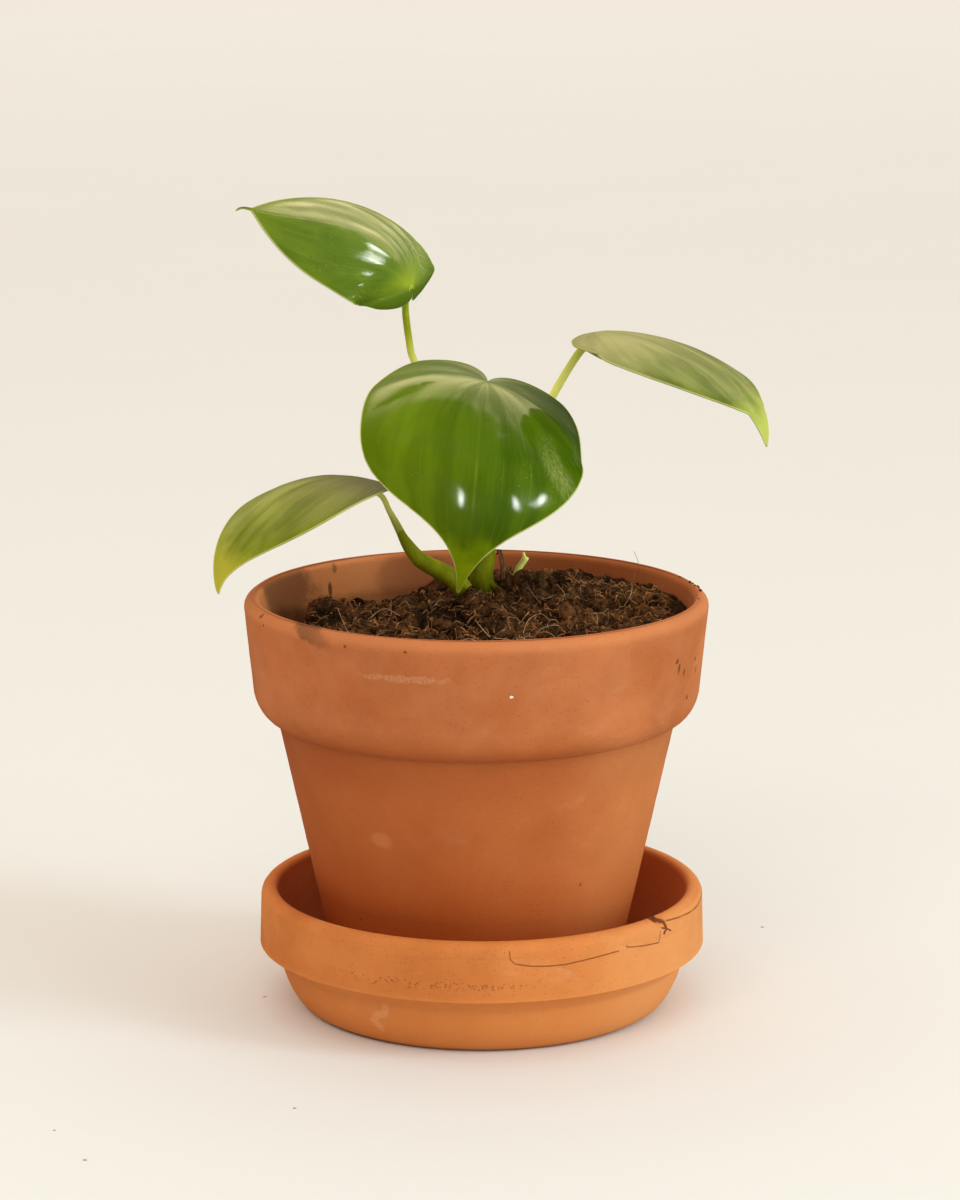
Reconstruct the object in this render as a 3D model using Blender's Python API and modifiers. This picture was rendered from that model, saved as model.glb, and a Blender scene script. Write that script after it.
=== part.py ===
"""A potted philodendron: four heart-shaped leaves on a young climbing stem,
in a terracotta pot that stands on its saucer.

Lengths are named in millimetres and turned to metres by MM, with +Z up. The
origin is the centre of the saucer's base, and -Y is the front of the plant.
"""

import math
from dataclasses import dataclass

import bmesh
import bpy
from mathutils import Matrix, Quaternion, Vector

MM = 0.001
GAP = 0.3  # between pieces that touch
TURN_STEPS = 48  # flats round a turned piece

# The pot: an outer rim of 130 mm, a tapering band and a body that narrows to its foot.
POT_X = -1.5
POT_FOOT = 7.0
POT_TOP = 117.7
RIM_RADIUS = 65.0
BAND_FOOT_RADIUS = 62.6
BAND_FOOT = 90.7
BODY_TOP_RADIUS = 56.0
BODY_TOP = 82.7
FOOT_RADIUS = 39.6
POT_WALL = 5.0
POT_FLOOR = 6.0
DRAIN_RADIUS = 6.0
LIP_OUTER_ROUND = 3.0
LIP_INNER_ROUND = 2.0
RIM_WALL = 4.5

# The saucer: the same band and taper, wide enough for a ring of air round the pot.
SAUCER_TOP = 34.4
SAUCER_RADIUS = 62.6
SAUCER_BAND_FOOT_RADIUS = 63.0
SAUCER_BAND_FOOT = 19.2
SAUCER_BODY_TOP_RADIUS = 57.4
SAUCER_BODY_TOP = 13.5
SAUCER_BASE_RADIUS = 52.7
SAUCER_WALL = 5.0
SAUCER_FLOOR = POT_FOOT - GAP
EDGE_ROUND = 1.5

# The compost: a low mound with lumps, drawn back from the pot's wall on the left.
# Each lump is (x, y, height, spread) from the pot's axis.
COMPOST_LEVEL = 110.6
COMPOST_RISE_RIGHT = 0.03
COMPOST_RISE_BACK = 0.03
COMPOST_LUMPS = (
    (-43, 10, 3.5, 6),
    (-16, 11, 4.0, 5),
    (2, 2, 4.2, 13),
    (10, 24, 6.0, 7),
    (25, 17, 6.0, 8),
    (43, 13, 3.0, 6),
    (-24, -18, 1.5, 10),
    (30, -20, 1.8, 12),
)
LEFT_GAP_X = -46.5
LEFT_GAP_SLOPE = 5.0
LEFT_GAP_DEPTH = 16.0
COMPOST_RINGS = (8, 15, 22, 29, 36, 42, 47, 52, 56)

# The leaves.
BLADE_THICKNESS = 0.7
BLADE_RINGS = 6
TAIL_HALF_WIDTH = 0.7


@dataclass
class Leaf:
    """One blade: places in millimetres, angles in degrees, the outline in parts of the midrib's length."""

    base: tuple  # where the petiole joins the blade
    leave: tuple  # the midrib curve's handle at the base
    arrive: tuple  # its handle at the tip
    tip: tuple
    face_base: tuple  # azimuth from the front, and elevation, that the upper side faces
    face_tip: tuple
    fold: tuple  # how far the left and right halves drop from the midrib
    curl: tuple  # how much further they turn by their widest point
    lobe_drop: float  # how far the back lobes turn down
    lobe_length: float
    lobe_width: float
    widest_at: float
    half_width: float
    shoulder: float
    slender: float
    tip_width: float
    tail: float  # the drip tip's share of the length
    tail_hook: float = 0.0


LEAVES = {
    "leaf_front": Leaf(
        base=(1.5, -2.3, 177.5),
        leave=(-3.5, -27.9, -1.9),
        arrive=(6.6, -17.9, 27.5),
        tip=(-6.6, -21.4, 122.2),
        face_base=(84, 73),
        face_tip=(-10, -24),
        fold=(0, 0),
        curl=(36, 41),
        lobe_drop=1,
        lobe_length=0.24,
        lobe_width=0.28,
        widest_at=0.30,
        half_width=0.443,
        shoulder=0.68,
        slender=0.58,
        tip_width=0.056,
        tail=0.015,
    ),
    "leaf_upper": Leaf(
        base=(-19.6, 13.2, 201.4),
        leave=(-3.9, -2.7, 21.2),
        arrive=(13.5, 2.2, -6.0),
        tip=(-67.7, 6.6, 225.7),
        face_base=(29, 56),
        face_tip=(-37, 45),
        fold=(9, 14),
        curl=(30, 11),
        lobe_drop=62,
        lobe_length=0.118,
        lobe_width=0.155,
        widest_at=0.34,
        half_width=0.345,
        shoulder=0.58,
        slender=0.09,
        tip_width=0.033,
        tail=0.075,
        tail_hook=35,
    ),
    "leaf_right": Leaf(
        base=(31.5, 8.6, 189.7),
        leave=(13.9, -0.4, 2.4),
        arrive=(-1.8, 3.6, 23.4),
        tip=(78.9, -5.2, 159.8),
        face_base=(-4, 94),
        face_tip=(31, 72),
        fold=(2, -1),
        curl=(46, 23),
        lobe_drop=12,
        lobe_length=0.106,
        lobe_width=0.157,
        widest_at=0.155,
        half_width=0.445,
        shoulder=0.60,
        slender=0.34,
        tip_width=0.049,
        tail=0.03,
    ),
    "leaf_lower": Leaf(
        base=(-29.5, -1.9, 149.6),
        leave=(-22.0, -13.0, 9.5),
        arrive=(-1.9, 5.9, 10.7),
        tip=(-72.9, -18.5, 121.1),
        face_base=(-37, 78),
        face_tip=(-22, 22),
        fold=(-9, 9),
        curl=(9, 52),
        lobe_drop=1,
        lobe_length=0.124,
        lobe_width=0.214,
        widest_at=0.273,
        half_width=0.347,
        shoulder=0.32,
        slender=0.25,
        tip_width=0.052,
        tail=0.03,
    ),
}

# The stems. A route is a list of (x, y, z, radius), from the compost upwards.
BURIED_Z = 104.0
MAIN_STEM = (
    (1.6, 12.0, BURIED_Z, 2.7),
    (1.5, 12.0, 112.0, 2.8),
    (1.0, 12.0, 116.5, 2.7),
    (-0.2, 12.0, 120.8, 3.5),
    (0.6, 12.3, 126.0, 3.2),
    (1.4, 12.8, 133.0, 2.7),
    (1.0, 13.6, 142.0, 2.6),
    (-0.6, 14.4, 149.5, 2.1),
)
AERIAL_ROOT = (
    (1.4, 11.0, 119.4, 0.9),
    (3.0, 10.4, 117.6, 1.0),
    (4.6, 9.8, 116.8, 0.7),
    (6.0, 9.2, 116.4, 0.35),
)
SIDE_SHOOT = (
    (-3.0, 7.4, BURIED_Z + 4, 2.4),
    (-4.0, 7.0, 114.5, 2.7),
    (-6.4, 6.3, 118.8, 2.75),
    (-9.2, 5.6, 121.2, 2.65),
    (-13.0, 4.8, 123.6, 2.45),
    (-16.8, 4.0, 126.0, 2.25),
    (-19.6, 3.2, 128.9, 2.0),
)


@dataclass
class Petiole:
    """A leaf's stalk. Its top is seated below the blade, so a route leaves that out."""

    leaf: str
    route: tuple
    top_radius: float


PETIOLES = {
    "petiole_front": Petiole(
        "leaf_front",
        (
            (1.9, 8.8, 138.6, 1.5),
            (2.5, 7.0, 142.0, 1.4),
            (3.0, 4.6, 150.5, 1.25),
            (2.4, 1.4, 163.0, 1.15),
            (1.1, -1.6, 173.0, 1.05),
        ),
        1.0,
    ),
    "petiole_upper": Petiole(
        "leaf_upper",
        (
            (-1.1, 14.7, 150.4, 1.7),
            (-5.0, 17.6, 156.5, 1.35),
            (-12.8, 21.4, 167.5, 1.2),
            (-19.2, 22.4, 180.0, 1.05),
            (-20.6, 21.6, 186.8, 1.0),
            (-21.3, 19.8, 192.9, 1.0),
            (-21.4, 17.9, 197.0, 0.95),
        ),
        0.95,
    ),
    "petiole_right": Petiole(
        "leaf_right",
        (
            (4.9, 13.7, 142.5, 1.5),
            (8.2, 15.0, 147.4, 1.4),
            (13.2, 17.2, 158.0, 1.25),
            (19.3, 17.4, 169.5, 1.2),
            (26.6, 13.4, 182.6, 1.1),
            (31.0, 9.0, 187.6, 1.05),
        ),
        1.0,
    ),
    "petiole_lower": Petiole(
        "leaf_lower",
        (
            (-20.3, 3.0, 129.6, 1.7),
            (-22.0, 2.3, 133.0, 1.3),
            (-23.6, 1.4, 136.5, 1.0),
            (-25.7, 0.2, 140.8, 0.85),
            (-27.6, -0.8, 145.0, 0.8),
        ),
        0.8,
    ),
}
SEAT_RUN = 1.2  # the straight top of a petiole, square to the blade
SEAT_GAP = 0.6  # the blade curves towards the petiole's end, which leaves about 0.3
CUT_PETIOLE = (
    (8.8, 12.8, BURIED_Z + 4, 0.9),
    (9.1, 12.5, 117.0, 0.9),
    (9.9, 12.3, 121.1, 0.85),
    (12.5, 12.0, 125.5, 0.95),
)
# The dried sheath beside the stem: foot, tip, width and thickness.
SHEATH_FOOT = (6.4, 12.8, 119.4)
SHEATH_TIP = (5.2, 13.2, 127.4)
SHEATH_WIDTH = 3.2
SHEATH_THICKNESS = 0.6
SAMPLES_PER_POINT = 3


def clear_scene():
    for obj in list(bpy.data.objects):
        bpy.data.objects.remove(obj)


def collection(name):
    made = bpy.data.collections.new(name)
    bpy.context.scene.collection.children.link(made)
    return made


def material(name, colour, roughness):
    """A Principled material in an even colour."""
    made = bpy.data.materials.new(name)
    made.use_nodes = True
    shader = made.node_tree.nodes["Principled BSDF"]
    shader.inputs["Base Color"].default_value = (*colour, 1.0)
    shader.inputs["Roughness"].default_value = roughness
    shader.inputs["Metallic"].default_value = 0.0
    return made


def link(name, mesh, finish, group):
    """A smooth-shaded object named for its piece."""
    obj = bpy.data.objects.new(name, mesh)
    mesh.shade_smooth()
    mesh.set_sharp_from_angle(angle=math.radians(40))
    mesh.materials.append(finish)
    group.objects.link(obj)
    return obj


# Turned pieces


def arc(centre, radius, start, end, steps=3):
    """Points (r, z) along a round, from start to end in degrees."""
    angles = [math.radians(start + (end - start) * i / steps) for i in range(steps + 1)]
    return [(centre[0] + radius * math.cos(a), centre[1] + radius * math.sin(a)) for a in angles]


def bend(start, corner, end, steps=3):
    """Points of a curve that leaves start towards corner and comes to end from it."""
    points = []
    for i in range(steps + 1):
        t = i / steps
        weights = ((1 - t) ** 2, 2 * t * (1 - t), t * t)
        points.append(tuple(sum(w * p[k] for w, p in zip(weights, (start, corner, end))) for k in (0, 1)))
    return points


def under_band(band_radius, band_z, body_radius, body_z):
    """The round below a band, where it draws in to the body."""
    corner = (body_radius + 0.8 * (band_radius - body_radius), body_z + 0.2 * (band_z - body_z))
    return bend((band_radius, band_z), corner, (body_radius, body_z))


def pot_inner_radius(z):
    """The pot's inside radius at a height above the ground."""
    body_inner = BODY_TOP_RADIUS - POT_WALL
    foot_inner = FOOT_RADIUS - POT_WALL
    band_inner = BAND_FOOT_RADIUS - POT_WALL
    rim_inner = RIM_RADIUS - RIM_WALL
    levels = (
        (POT_FOOT, foot_inner),
        (BODY_TOP - POT_WALL, body_inner - 1),
        (BAND_FOOT - 1, band_inner),
        (POT_TOP, rim_inner),
    )
    for (low, low_r), (high, high_r) in zip(levels, levels[1:]):
        if z <= high:
            return low_r + (high_r - low_r) * (z - low) / (high - low)
    return rim_inner


def pot_profile():
    lip_top = POT_TOP - LIP_OUTER_ROUND
    lip_inside = (pot_inner_radius(POT_TOP) + LIP_INNER_ROUND, POT_TOP - LIP_INNER_ROUND)
    floor = POT_FOOT + POT_FLOOR
    outer = arc((RIM_RADIUS - LIP_OUTER_ROUND, lip_top), LIP_OUTER_ROUND, 90, 0)
    outer += under_band(BAND_FOOT_RADIUS, BAND_FOOT, BODY_TOP_RADIUS, BODY_TOP)
    outer += arc((FOOT_RADIUS - EDGE_ROUND, POT_FOOT + EDGE_ROUND), EDGE_ROUND, -5, -90, 2)
    inner = [(DRAIN_RADIUS, POT_FOOT), (DRAIN_RADIUS, floor)]
    inner += [(pot_inner_radius(z), z) for z in (floor, BODY_TOP - POT_WALL, BAND_FOOT - 1)]
    return outer + inner + arc(lip_inside, LIP_INNER_ROUND, 180, 90)


def saucer_profile():
    lip = SAUCER_TOP - LIP_OUTER_ROUND
    inner_radius = SAUCER_RADIUS - SAUCER_WALL
    base = (SAUCER_BASE_RADIUS, EDGE_ROUND)
    outer = arc((SAUCER_RADIUS - LIP_OUTER_ROUND, lip), LIP_OUTER_ROUND, 90, 0)
    outer += under_band(
        SAUCER_BAND_FOOT_RADIUS, SAUCER_BAND_FOOT, SAUCER_BODY_TOP_RADIUS, SAUCER_BODY_TOP
    )
    outer += [(0.5 * (SAUCER_BODY_TOP_RADIUS + SAUCER_BASE_RADIUS) + 0.5, 0.5 * SAUCER_BODY_TOP)]
    outer += [base, (SAUCER_BASE_RADIUS - EDGE_ROUND, 0)]
    inner = [(0, 0), (0, SAUCER_FLOOR)]
    inner += bend(
        (SAUCER_BASE_RADIUS - 8, SAUCER_FLOOR), (inner_radius - 5, SAUCER_FLOOR), (inner_radius - 4.5, 14)
    )
    lip_inside = (inner_radius + LIP_INNER_ROUND, SAUCER_TOP - LIP_INNER_ROUND)
    inner += arc(lip_inside, LIP_INNER_ROUND, 180, 90, 2)
    return outer + inner


def turned(name, profile, axis_x, finish, group):
    """A profile in millimetres, outer side first from the top, turned round +Z."""
    mesh = bpy.data.meshes.new(name)
    points = [(r * MM, 0, z * MM) for r, z in profile]
    mesh.from_pydata(points, [(i, (i + 1) % len(points)) for i in range(len(points))], [])
    obj = bpy.data.objects.new(name, mesh)
    obj.location.x = axis_x * MM
    group.objects.link(obj)
    mesh.materials.append(finish)
    screw = obj.modifiers.new("Turn", "SCREW")
    screw.axis = "Z"
    screw.steps = TURN_STEPS
    screw.render_steps = TURN_STEPS
    screw.use_smooth_shade = True
    screw.use_merge_vertices = True
    screw.merge_threshold = 0.00001
    return obj


# Compost


def compost_height(x, y):
    """The compost's top above the ground, x and y from the pot's axis."""
    z = COMPOST_LEVEL + COMPOST_RISE_RIGHT * x + COMPOST_RISE_BACK * y
    for lump_x, lump_y, height, spread in COMPOST_LUMPS:
        away = ((x - lump_x) ** 2 + (y - lump_y) ** 2) / (2 * spread**2)
        z += height * math.exp(-away)
    into_gap = min(max((LEFT_GAP_X - x) / LEFT_GAP_SLOPE, 0), 1)
    return z - LEFT_GAP_DEPTH * into_gap**2 * (3 - 2 * into_gap)


def compost(finish, group):
    """The pot's filling, turned as a plug and then raised to its mound."""
    level = POT_TOP
    floor = POT_FOOT + POT_FLOOR + GAP
    profile = [(0, level)] + [(r, level) for r in COMPOST_RINGS]
    profile += [(pot_inner_radius(z) - GAP, z) for z in (level, BAND_FOOT - 1, BODY_TOP - POT_WALL, floor)]
    profile += [(0, floor)]
    work = bmesh.new()
    points = [work.verts.new((r, 0, z)) for r, z in profile]
    edges = [work.edges.new(pair) for pair in zip(points, points[1:])]
    bmesh.ops.spin(
        work,
        geom=points + edges,
        axis=(0, 0, 1),
        cent=(0, 0, 0),
        angle=math.tau,
        steps=TURN_STEPS,
        use_merge=True,
    )
    bmesh.ops.remove_doubles(work, verts=work.verts, dist=0.001)
    bmesh.ops.recalc_face_normals(work, faces=work.faces)
    for vert in work.verts:
        if vert.co.z > level - 1:
            vert.co.z = compost_height(vert.co.x, vert.co.y)
            limit = pot_inner_radius(vert.co.z) - GAP
            away = math.hypot(vert.co.x, vert.co.y)
            if away > limit - 1:
                vert.co.x *= limit / away
                vert.co.y *= limit / away
    bmesh.ops.transform(work, matrix=Matrix.Scale(MM, 4), verts=work.verts)
    mesh = bpy.data.meshes.new("compost")
    work.to_mesh(mesh)
    work.free()
    obj = link("compost", mesh, finish, group)
    obj.location.x = POT_X * MM
    return obj


# Stems


def smooth_route(route):
    """A Catmull-Rom curve through a route's points, radius and all."""
    ends = [tuple(2 * a - b for a, b in zip(route[0], route[1]))]
    ends.append(tuple(2 * a - b for a, b in zip(route[-1], route[-2])))
    points = [ends[0], *route, ends[1]]
    smooth = []
    for i in range(1, len(points) - 2):
        for step in range(SAMPLES_PER_POINT):
            t = step / SAMPLES_PER_POINT
            weights = (
                -0.5 * t + t**2 - 0.5 * t**3,
                1 - 2.5 * t**2 + 1.5 * t**3,
                0.5 * t + 2 * t**2 - 1.5 * t**3,
                -0.5 * t**2 + 0.5 * t**3,
            )
            near = points[i - 1 : i + 3]
            smooth.append(tuple(sum(w * p[k] for w, p in zip(weights, near)) for k in range(4)))
    return smooth + [route[-1]]


def tube_mesh(name, route, extra=0.0, sides=3):
    """The closed mesh of a round stem along a route, made wider by extra."""
    curve = bpy.data.curves.new(name, "CURVE")
    curve.dimensions = "3D"
    curve.bevel_depth = MM
    curve.bevel_resolution = sides
    curve.use_fill_caps = True
    spline = curve.splines.new("POLY")
    points = smooth_route(route)
    spline.points.add(len(points) - 1)
    for point, (x, y, z, radius) in zip(spline.points, points):
        point.co = (x * MM, y * MM, z * MM, 1)
        point.radius = radius + extra
    guide = bpy.data.objects.new(name + "_guide", curve)
    bpy.context.scene.collection.objects.link(guide)
    graph = bpy.context.evaluated_depsgraph_get()
    mesh = bpy.data.meshes.new_from_object(guide.evaluated_get(graph))
    bpy.data.objects.remove(guide)
    bpy.data.curves.remove(curve)
    work = bmesh.new()
    work.from_mesh(mesh)
    bmesh.ops.remove_doubles(work, verts=work.verts, dist=0.000001)
    bmesh.ops.recalc_face_normals(work, faces=work.faces)
    work.to_mesh(mesh)
    work.free()
    mesh.name = name
    return mesh


def boolean(obj, other, operation):
    """Joins or cuts with a hidden helper."""
    modifier = obj.modifiers.new(other.name, "BOOLEAN")
    modifier.operation = operation
    modifier.solver = "EXACT"
    modifier.object = other


def helper(name, mesh, cutters):
    """An object that only shapes another."""
    obj = bpy.data.objects.new(name, mesh)
    obj.hide_render = True
    obj.display_type = "WIRE"
    cutters.objects.link(obj)
    return obj


def stem(name, route, finish, group, sides=3):
    return link(name, tube_mesh(name, route, sides=sides), finish, group)


def seated(petiole):
    """A petiole's whole route, up to its seat under the blade."""
    leaf = LEAVES[petiole.leaf]
    up = Midrib(leaf).at(0)[2]
    droop = petiole.top_radius * math.sin(math.radians(max(leaf.fold)))
    seat = Vector(leaf.base) - up * (BLADE_THICKNESS / 2 + SEAT_GAP + droop)
    below = seat - up * SEAT_RUN
    return (*petiole.route, (*below, petiole.top_radius), (*seat, petiole.top_radius))


def plant_in(soil, name, route, above, cutters, sides=3):
    """Cuts the plain hole that a buried stem stands in, up to the route's point at above."""
    foot = route[0]
    hole = [(*foot[:2], foot[2] - GAP, foot[3]), *route[1 : above + 1]]
    cutter = helper("hole_for_" + name, tube_mesh(name + "_hole", hole, GAP, sides), cutters)
    boolean(soil, cutter, "DIFFERENCE")


# Leaves


def facing(azimuth, elevation):
    """A direction, azimuth from the front towards the right."""
    a, e = math.radians(azimuth), math.radians(elevation)
    return Vector((math.sin(a) * math.cos(e), -math.cos(a) * math.cos(e), math.sin(e)))


def cubic(points, t):
    """A point on a Bezier curve of four points."""
    weights = ((1 - t) ** 3, 3 * (1 - t) ** 2 * t, 3 * (1 - t) * t**2, t**3)
    return sum((w * Vector(p) for w, p in zip(weights, points)), Vector([0] * len(points[0])))


class Midrib:
    """A leaf's midrib by arc length, with the direction that the blade faces along it."""

    STEPS = 120

    def __init__(self, leaf):
        base, tip = Vector(leaf.base), Vector(leaf.tip)
        handles = (base, base + Vector(leaf.leave), tip + Vector(leaf.arrive), tip)
        self.points = [cubic(handles, i / self.STEPS) for i in range(self.STEPS + 1)]
        self.travel = [0.0]
        for a, b in zip(self.points, self.points[1:]):
            self.travel.append(self.travel[-1] + (b - a).length)
        self.length = self.travel[-1]
        self.leaf = leaf

    def at(self, s):
        """Place, direction along, upward face and right-hand side, s millimetres from the base."""
        s = min(max(s, 0.0), self.length)
        i = 0
        while i < self.STEPS - 1 and self.travel[i + 1] < s:
            i += 1
        part = (s - self.travel[i]) / (self.travel[i + 1] - self.travel[i])
        place = self.points[i].lerp(self.points[i + 1], part)
        behind, ahead = self.points[max(i - 1, 0)], self.points[min(i + 2, self.STEPS)]
        along = (ahead - behind).normalized()
        share = (i + part) / self.STEPS
        look = facing(*self.leaf.face_base).lerp(facing(*self.leaf.face_tip), share)
        up = (look - look.dot(along) * along).normalized()
        return place, along, up, along.cross(up)


def bent(place, along, up, reach, angle_rate):
    """Carries a place back along the blade while it turns down at angle_rate radians per mm."""
    angle = angle_rate * reach
    back = math.sin(angle) / angle_rate
    down = (1 - math.cos(angle)) / angle_rate
    return place - along * back - up * down, up * math.cos(angle) - along * math.sin(angle)


def on_blade(leaf, midrib, s, t):
    """The blade's middle surface, s along the midrib and t to its right."""
    place, along, up, right = midrib.at(s)
    if s < 0:
        rate = math.radians(leaf.lobe_drop) / (leaf.lobe_length * midrib.length)
        place, up = bent(place, along, up, -s, rate)
    side = 1 if t > 0 else 0
    fold = math.radians(leaf.fold[side])
    rate = math.radians(leaf.curl[side]) / (leaf.half_width * midrib.length)
    turned_to = fold + rate * abs(t)
    out = (math.sin(turned_to) - math.sin(fold)) / rate
    down = (math.cos(fold) - math.cos(turned_to)) / rate
    return place + right * math.copysign(out, t) - up * down


def half_outline(leaf, length):
    """The margin from the base round a lobe to the tip, as (along, out) in millimetres."""
    lobe, width = leaf.lobe_length, leaf.lobe_width
    wide, half = leaf.widest_at, leaf.half_width
    blade_end = 1 - leaf.tail
    rest = blade_end - wide
    lobe_side = (-lobe, width + 0.55 * (half - width))
    ahead_of_lobe = (wide - 0.55 * (wide + lobe), half)
    pieces = (
        (4, (0, 0), (-0.55 * lobe, 0.02), (-lobe, 0.35 * width), (-lobe, width)),
        (5, (-lobe, width), lobe_side, ahead_of_lobe, (wide, half)),
        (
            9,
            (wide, half),
            (wide + leaf.shoulder * rest, half),
            (blade_end - leaf.slender * rest, leaf.tip_width),
            (blade_end, TAIL_HALF_WIDTH / length),
        ),
    )
    points = []
    for steps, *handles in pieces:
        points += [cubic(handles, i / steps) * length for i in range(steps)]
    points.append(Vector((blade_end * length, TAIL_HALF_WIDTH)))
    points.append(Vector((length, 0)))
    return points


def hooked(leaf, midrib, point, s):
    """Turns the drip tip down or up from the blade's end."""
    start = (1 - leaf.tail) * midrib.length
    if s <= start or not leaf.tail_hook:
        return point
    place, _, _, right = midrib.at(start)
    return place + Quaternion(right, -math.radians(leaf.tail_hook)) @ (point - place)


def blade(name, leaf, finish, group):
    """A grid from the base to the margin, laid on the blade's surface and given its thickness."""
    midrib = Midrib(leaf)
    half = half_outline(leaf, midrib.length)
    margin = [Vector((s, -t)) for s, t in half] + [p.copy() for p in reversed(half[:-1])]
    work = bmesh.new()
    bmesh.ops.create_grid(work, x_segments=len(margin) - 1, y_segments=BLADE_RINGS, size=0.5)
    for vert in work.verts:
        edge = margin[round((vert.co.x + 0.5) * (len(margin) - 1))]
        share = vert.co.y + 0.5
        s, t = edge * share
        point = hooked(leaf, midrib, on_blade(leaf, midrib, s, t), s)
        vert.co = point * MM
    bmesh.ops.remove_doubles(work, verts=work.verts, dist=0.00002)
    bmesh.ops.triangulate(work, faces=work.faces)
    mesh = bpy.data.meshes.new(name)
    work.to_mesh(mesh)
    work.free()
    obj = link(name, mesh, finish, group)
    solidify = obj.modifiers.new("Thickness", "SOLIDIFY")
    solidify.thickness = BLADE_THICKNESS * MM
    solidify.offset = 0
    return obj


def sheath(finish, group):
    """The dried sheath: a curled strip that narrows to its tip, beside the stem's foot."""
    foot, tip = Vector(SHEATH_FOOT), Vector(SHEATH_TIP)
    work = bmesh.new()
    bmesh.ops.create_grid(work, x_segments=4, y_segments=4, size=0.5)
    for vert in work.verts:
        share = vert.co.y + 0.5
        across = vert.co.x * SHEATH_WIDTH * (1 - 0.75 * share)
        cupped = 0.35 * SHEATH_WIDTH * (2 * vert.co.x) ** 2
        centre = foot.lerp(tip, share) + Vector((0.8 * math.sin(math.pi * share), 0, 0))
        vert.co = (centre + Vector((-cupped, across, 0))) * MM
    bmesh.ops.triangulate(work, faces=work.faces)
    mesh = bpy.data.meshes.new("dried_sheath")
    work.to_mesh(mesh)
    work.free()
    obj = link("dried_sheath", mesh, finish, group)
    solidify = obj.modifiers.new("Thickness", "SOLIDIFY")
    solidify.thickness = SHEATH_THICKNESS * MM
    solidify.offset = 0
    return obj


def main():
    clear_scene()
    group = collection("potted_philodendron")
    cutters = collection("cutters")

    terracotta = material("terracotta", (0.52, 0.19, 0.08), 0.85)
    saucer_clay = material("saucer_terracotta", (0.60, 0.25, 0.09), 0.85)
    peat = material("peat_compost", (0.045, 0.024, 0.014), 0.95)
    green_stem = material("stem_green", (0.16, 0.25, 0.03), 0.5)
    petiole_green = material("petiole_green", (0.30, 0.38, 0.05), 0.45)
    leaf_green = material("leaf_green", (0.06, 0.15, 0.02), 0.35)
    dry_brown = material("dried_brown", (0.28, 0.15, 0.07), 0.8)

    turned("saucer", saucer_profile(), 0, saucer_clay, group)
    turned("pot", pot_profile(), POT_X, terracotta, group)

    soil = compost(peat, group)
    plant_in(soil, "main_stem", MAIN_STEM, 4, cutters)
    plant_in(soil, "side_shoot", SIDE_SHOOT, 3, cutters)
    plant_in(soil, "cut_petiole", CUT_PETIOLE, 3, cutters, sides=2)

    main_stem = stem("main_stem", MAIN_STEM, green_stem, group)
    root = helper("aerial_root", tube_mesh("aerial_root", AERIAL_ROOT, sides=2), cutters)
    boolean(main_stem, root, "UNION")
    stem("side_shoot", SIDE_SHOOT, green_stem, group)
    stem("cut_petiole", CUT_PETIOLE, petiole_green, group, sides=2)
    for name, petiole in PETIOLES.items():
        stem(name, seated(petiole), petiole_green, group, sides=2)
    sheath(dry_brown, group)

    for name, leaf in LEAVES.items():
        blade(name, leaf, leaf_green, group)


main()
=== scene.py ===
# %% [markdown]
# A potted philodendron, dressed for its picture.
#
# The plant's plain solids are already packed in one frame, in metres, with the
# origin under the middle of the saucer and -Y towards the viewer. This lesson
# loads them and makes a finer piece for each one, with its own finish. Lengths
# are written in millimetres, as on a maker's drawing, and turned to metres once,
# when a piece is finished.

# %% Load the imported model
import math
import random
from bisect import bisect_right
from collections import namedtuple

import bmesh
import bpy
from mathutils import Matrix, Quaternion, Vector, noise


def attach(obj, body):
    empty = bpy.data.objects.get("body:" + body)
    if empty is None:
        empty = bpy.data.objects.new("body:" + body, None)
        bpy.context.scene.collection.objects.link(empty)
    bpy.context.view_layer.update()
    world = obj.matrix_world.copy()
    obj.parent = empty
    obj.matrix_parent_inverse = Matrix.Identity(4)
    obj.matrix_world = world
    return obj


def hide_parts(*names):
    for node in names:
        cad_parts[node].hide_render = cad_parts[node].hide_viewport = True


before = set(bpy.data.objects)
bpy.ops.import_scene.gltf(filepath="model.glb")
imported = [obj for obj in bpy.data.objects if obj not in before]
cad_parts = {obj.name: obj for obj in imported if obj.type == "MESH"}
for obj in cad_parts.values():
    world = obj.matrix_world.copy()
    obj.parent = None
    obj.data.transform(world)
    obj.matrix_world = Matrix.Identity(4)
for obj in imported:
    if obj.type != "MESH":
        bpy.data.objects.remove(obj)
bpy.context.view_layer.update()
scene = bpy.context.scene
MM = 0.001
print("nodes:", ", ".join(sorted(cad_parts)))

# %% [markdown]
# The camera stands a metre in front of the pot and a little above it, and looks
# down on it by 12 degrees with a long lens. The lens was worked out from the
# ellipses of the pot's rim and the saucer's rim, so the picture frames the plant
# as the photograph does.

# %% Camera
CAMERA_AT = Vector((-0.52, -1061.1, 339.5))
CAMERA_PITCH = 11.915
FOCAL_PIXELS, PICTURE_HEIGHT = 3878, 1200


def add_camera():
    data = bpy.data.cameras.new("camera")
    data.lens = FOCAL_PIXELS / PICTURE_HEIGHT * data.sensor_width
    data.clip_end = 100
    camera = bpy.data.objects.new("camera", data)
    camera.location = CAMERA_AT * MM
    camera.rotation_euler = (math.radians(90 - CAMERA_PITCH), 0, 0)
    scene.collection.objects.link(camera)
    scene.camera = camera
    return camera


print("lens:", round(add_camera().data.lens, 1), "mm")
scene.view_settings.view_transform = "Standard"

# %% [markdown]
# Every finish here is written as a sum. A Signal wraps one output socket, and
# adding or multiplying two of them adds a Math node, so a mask reads like
# `grain * (1 - damp)`. Its ramp turns a measure into a mask: `height.ramp(88, 91)`
# is 0 below 88 mm, 1 above 91 mm and soft between. Nodes.add makes any other
# node: first its settings, then the values or links of its sockets.

# %% Shader sums


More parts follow.
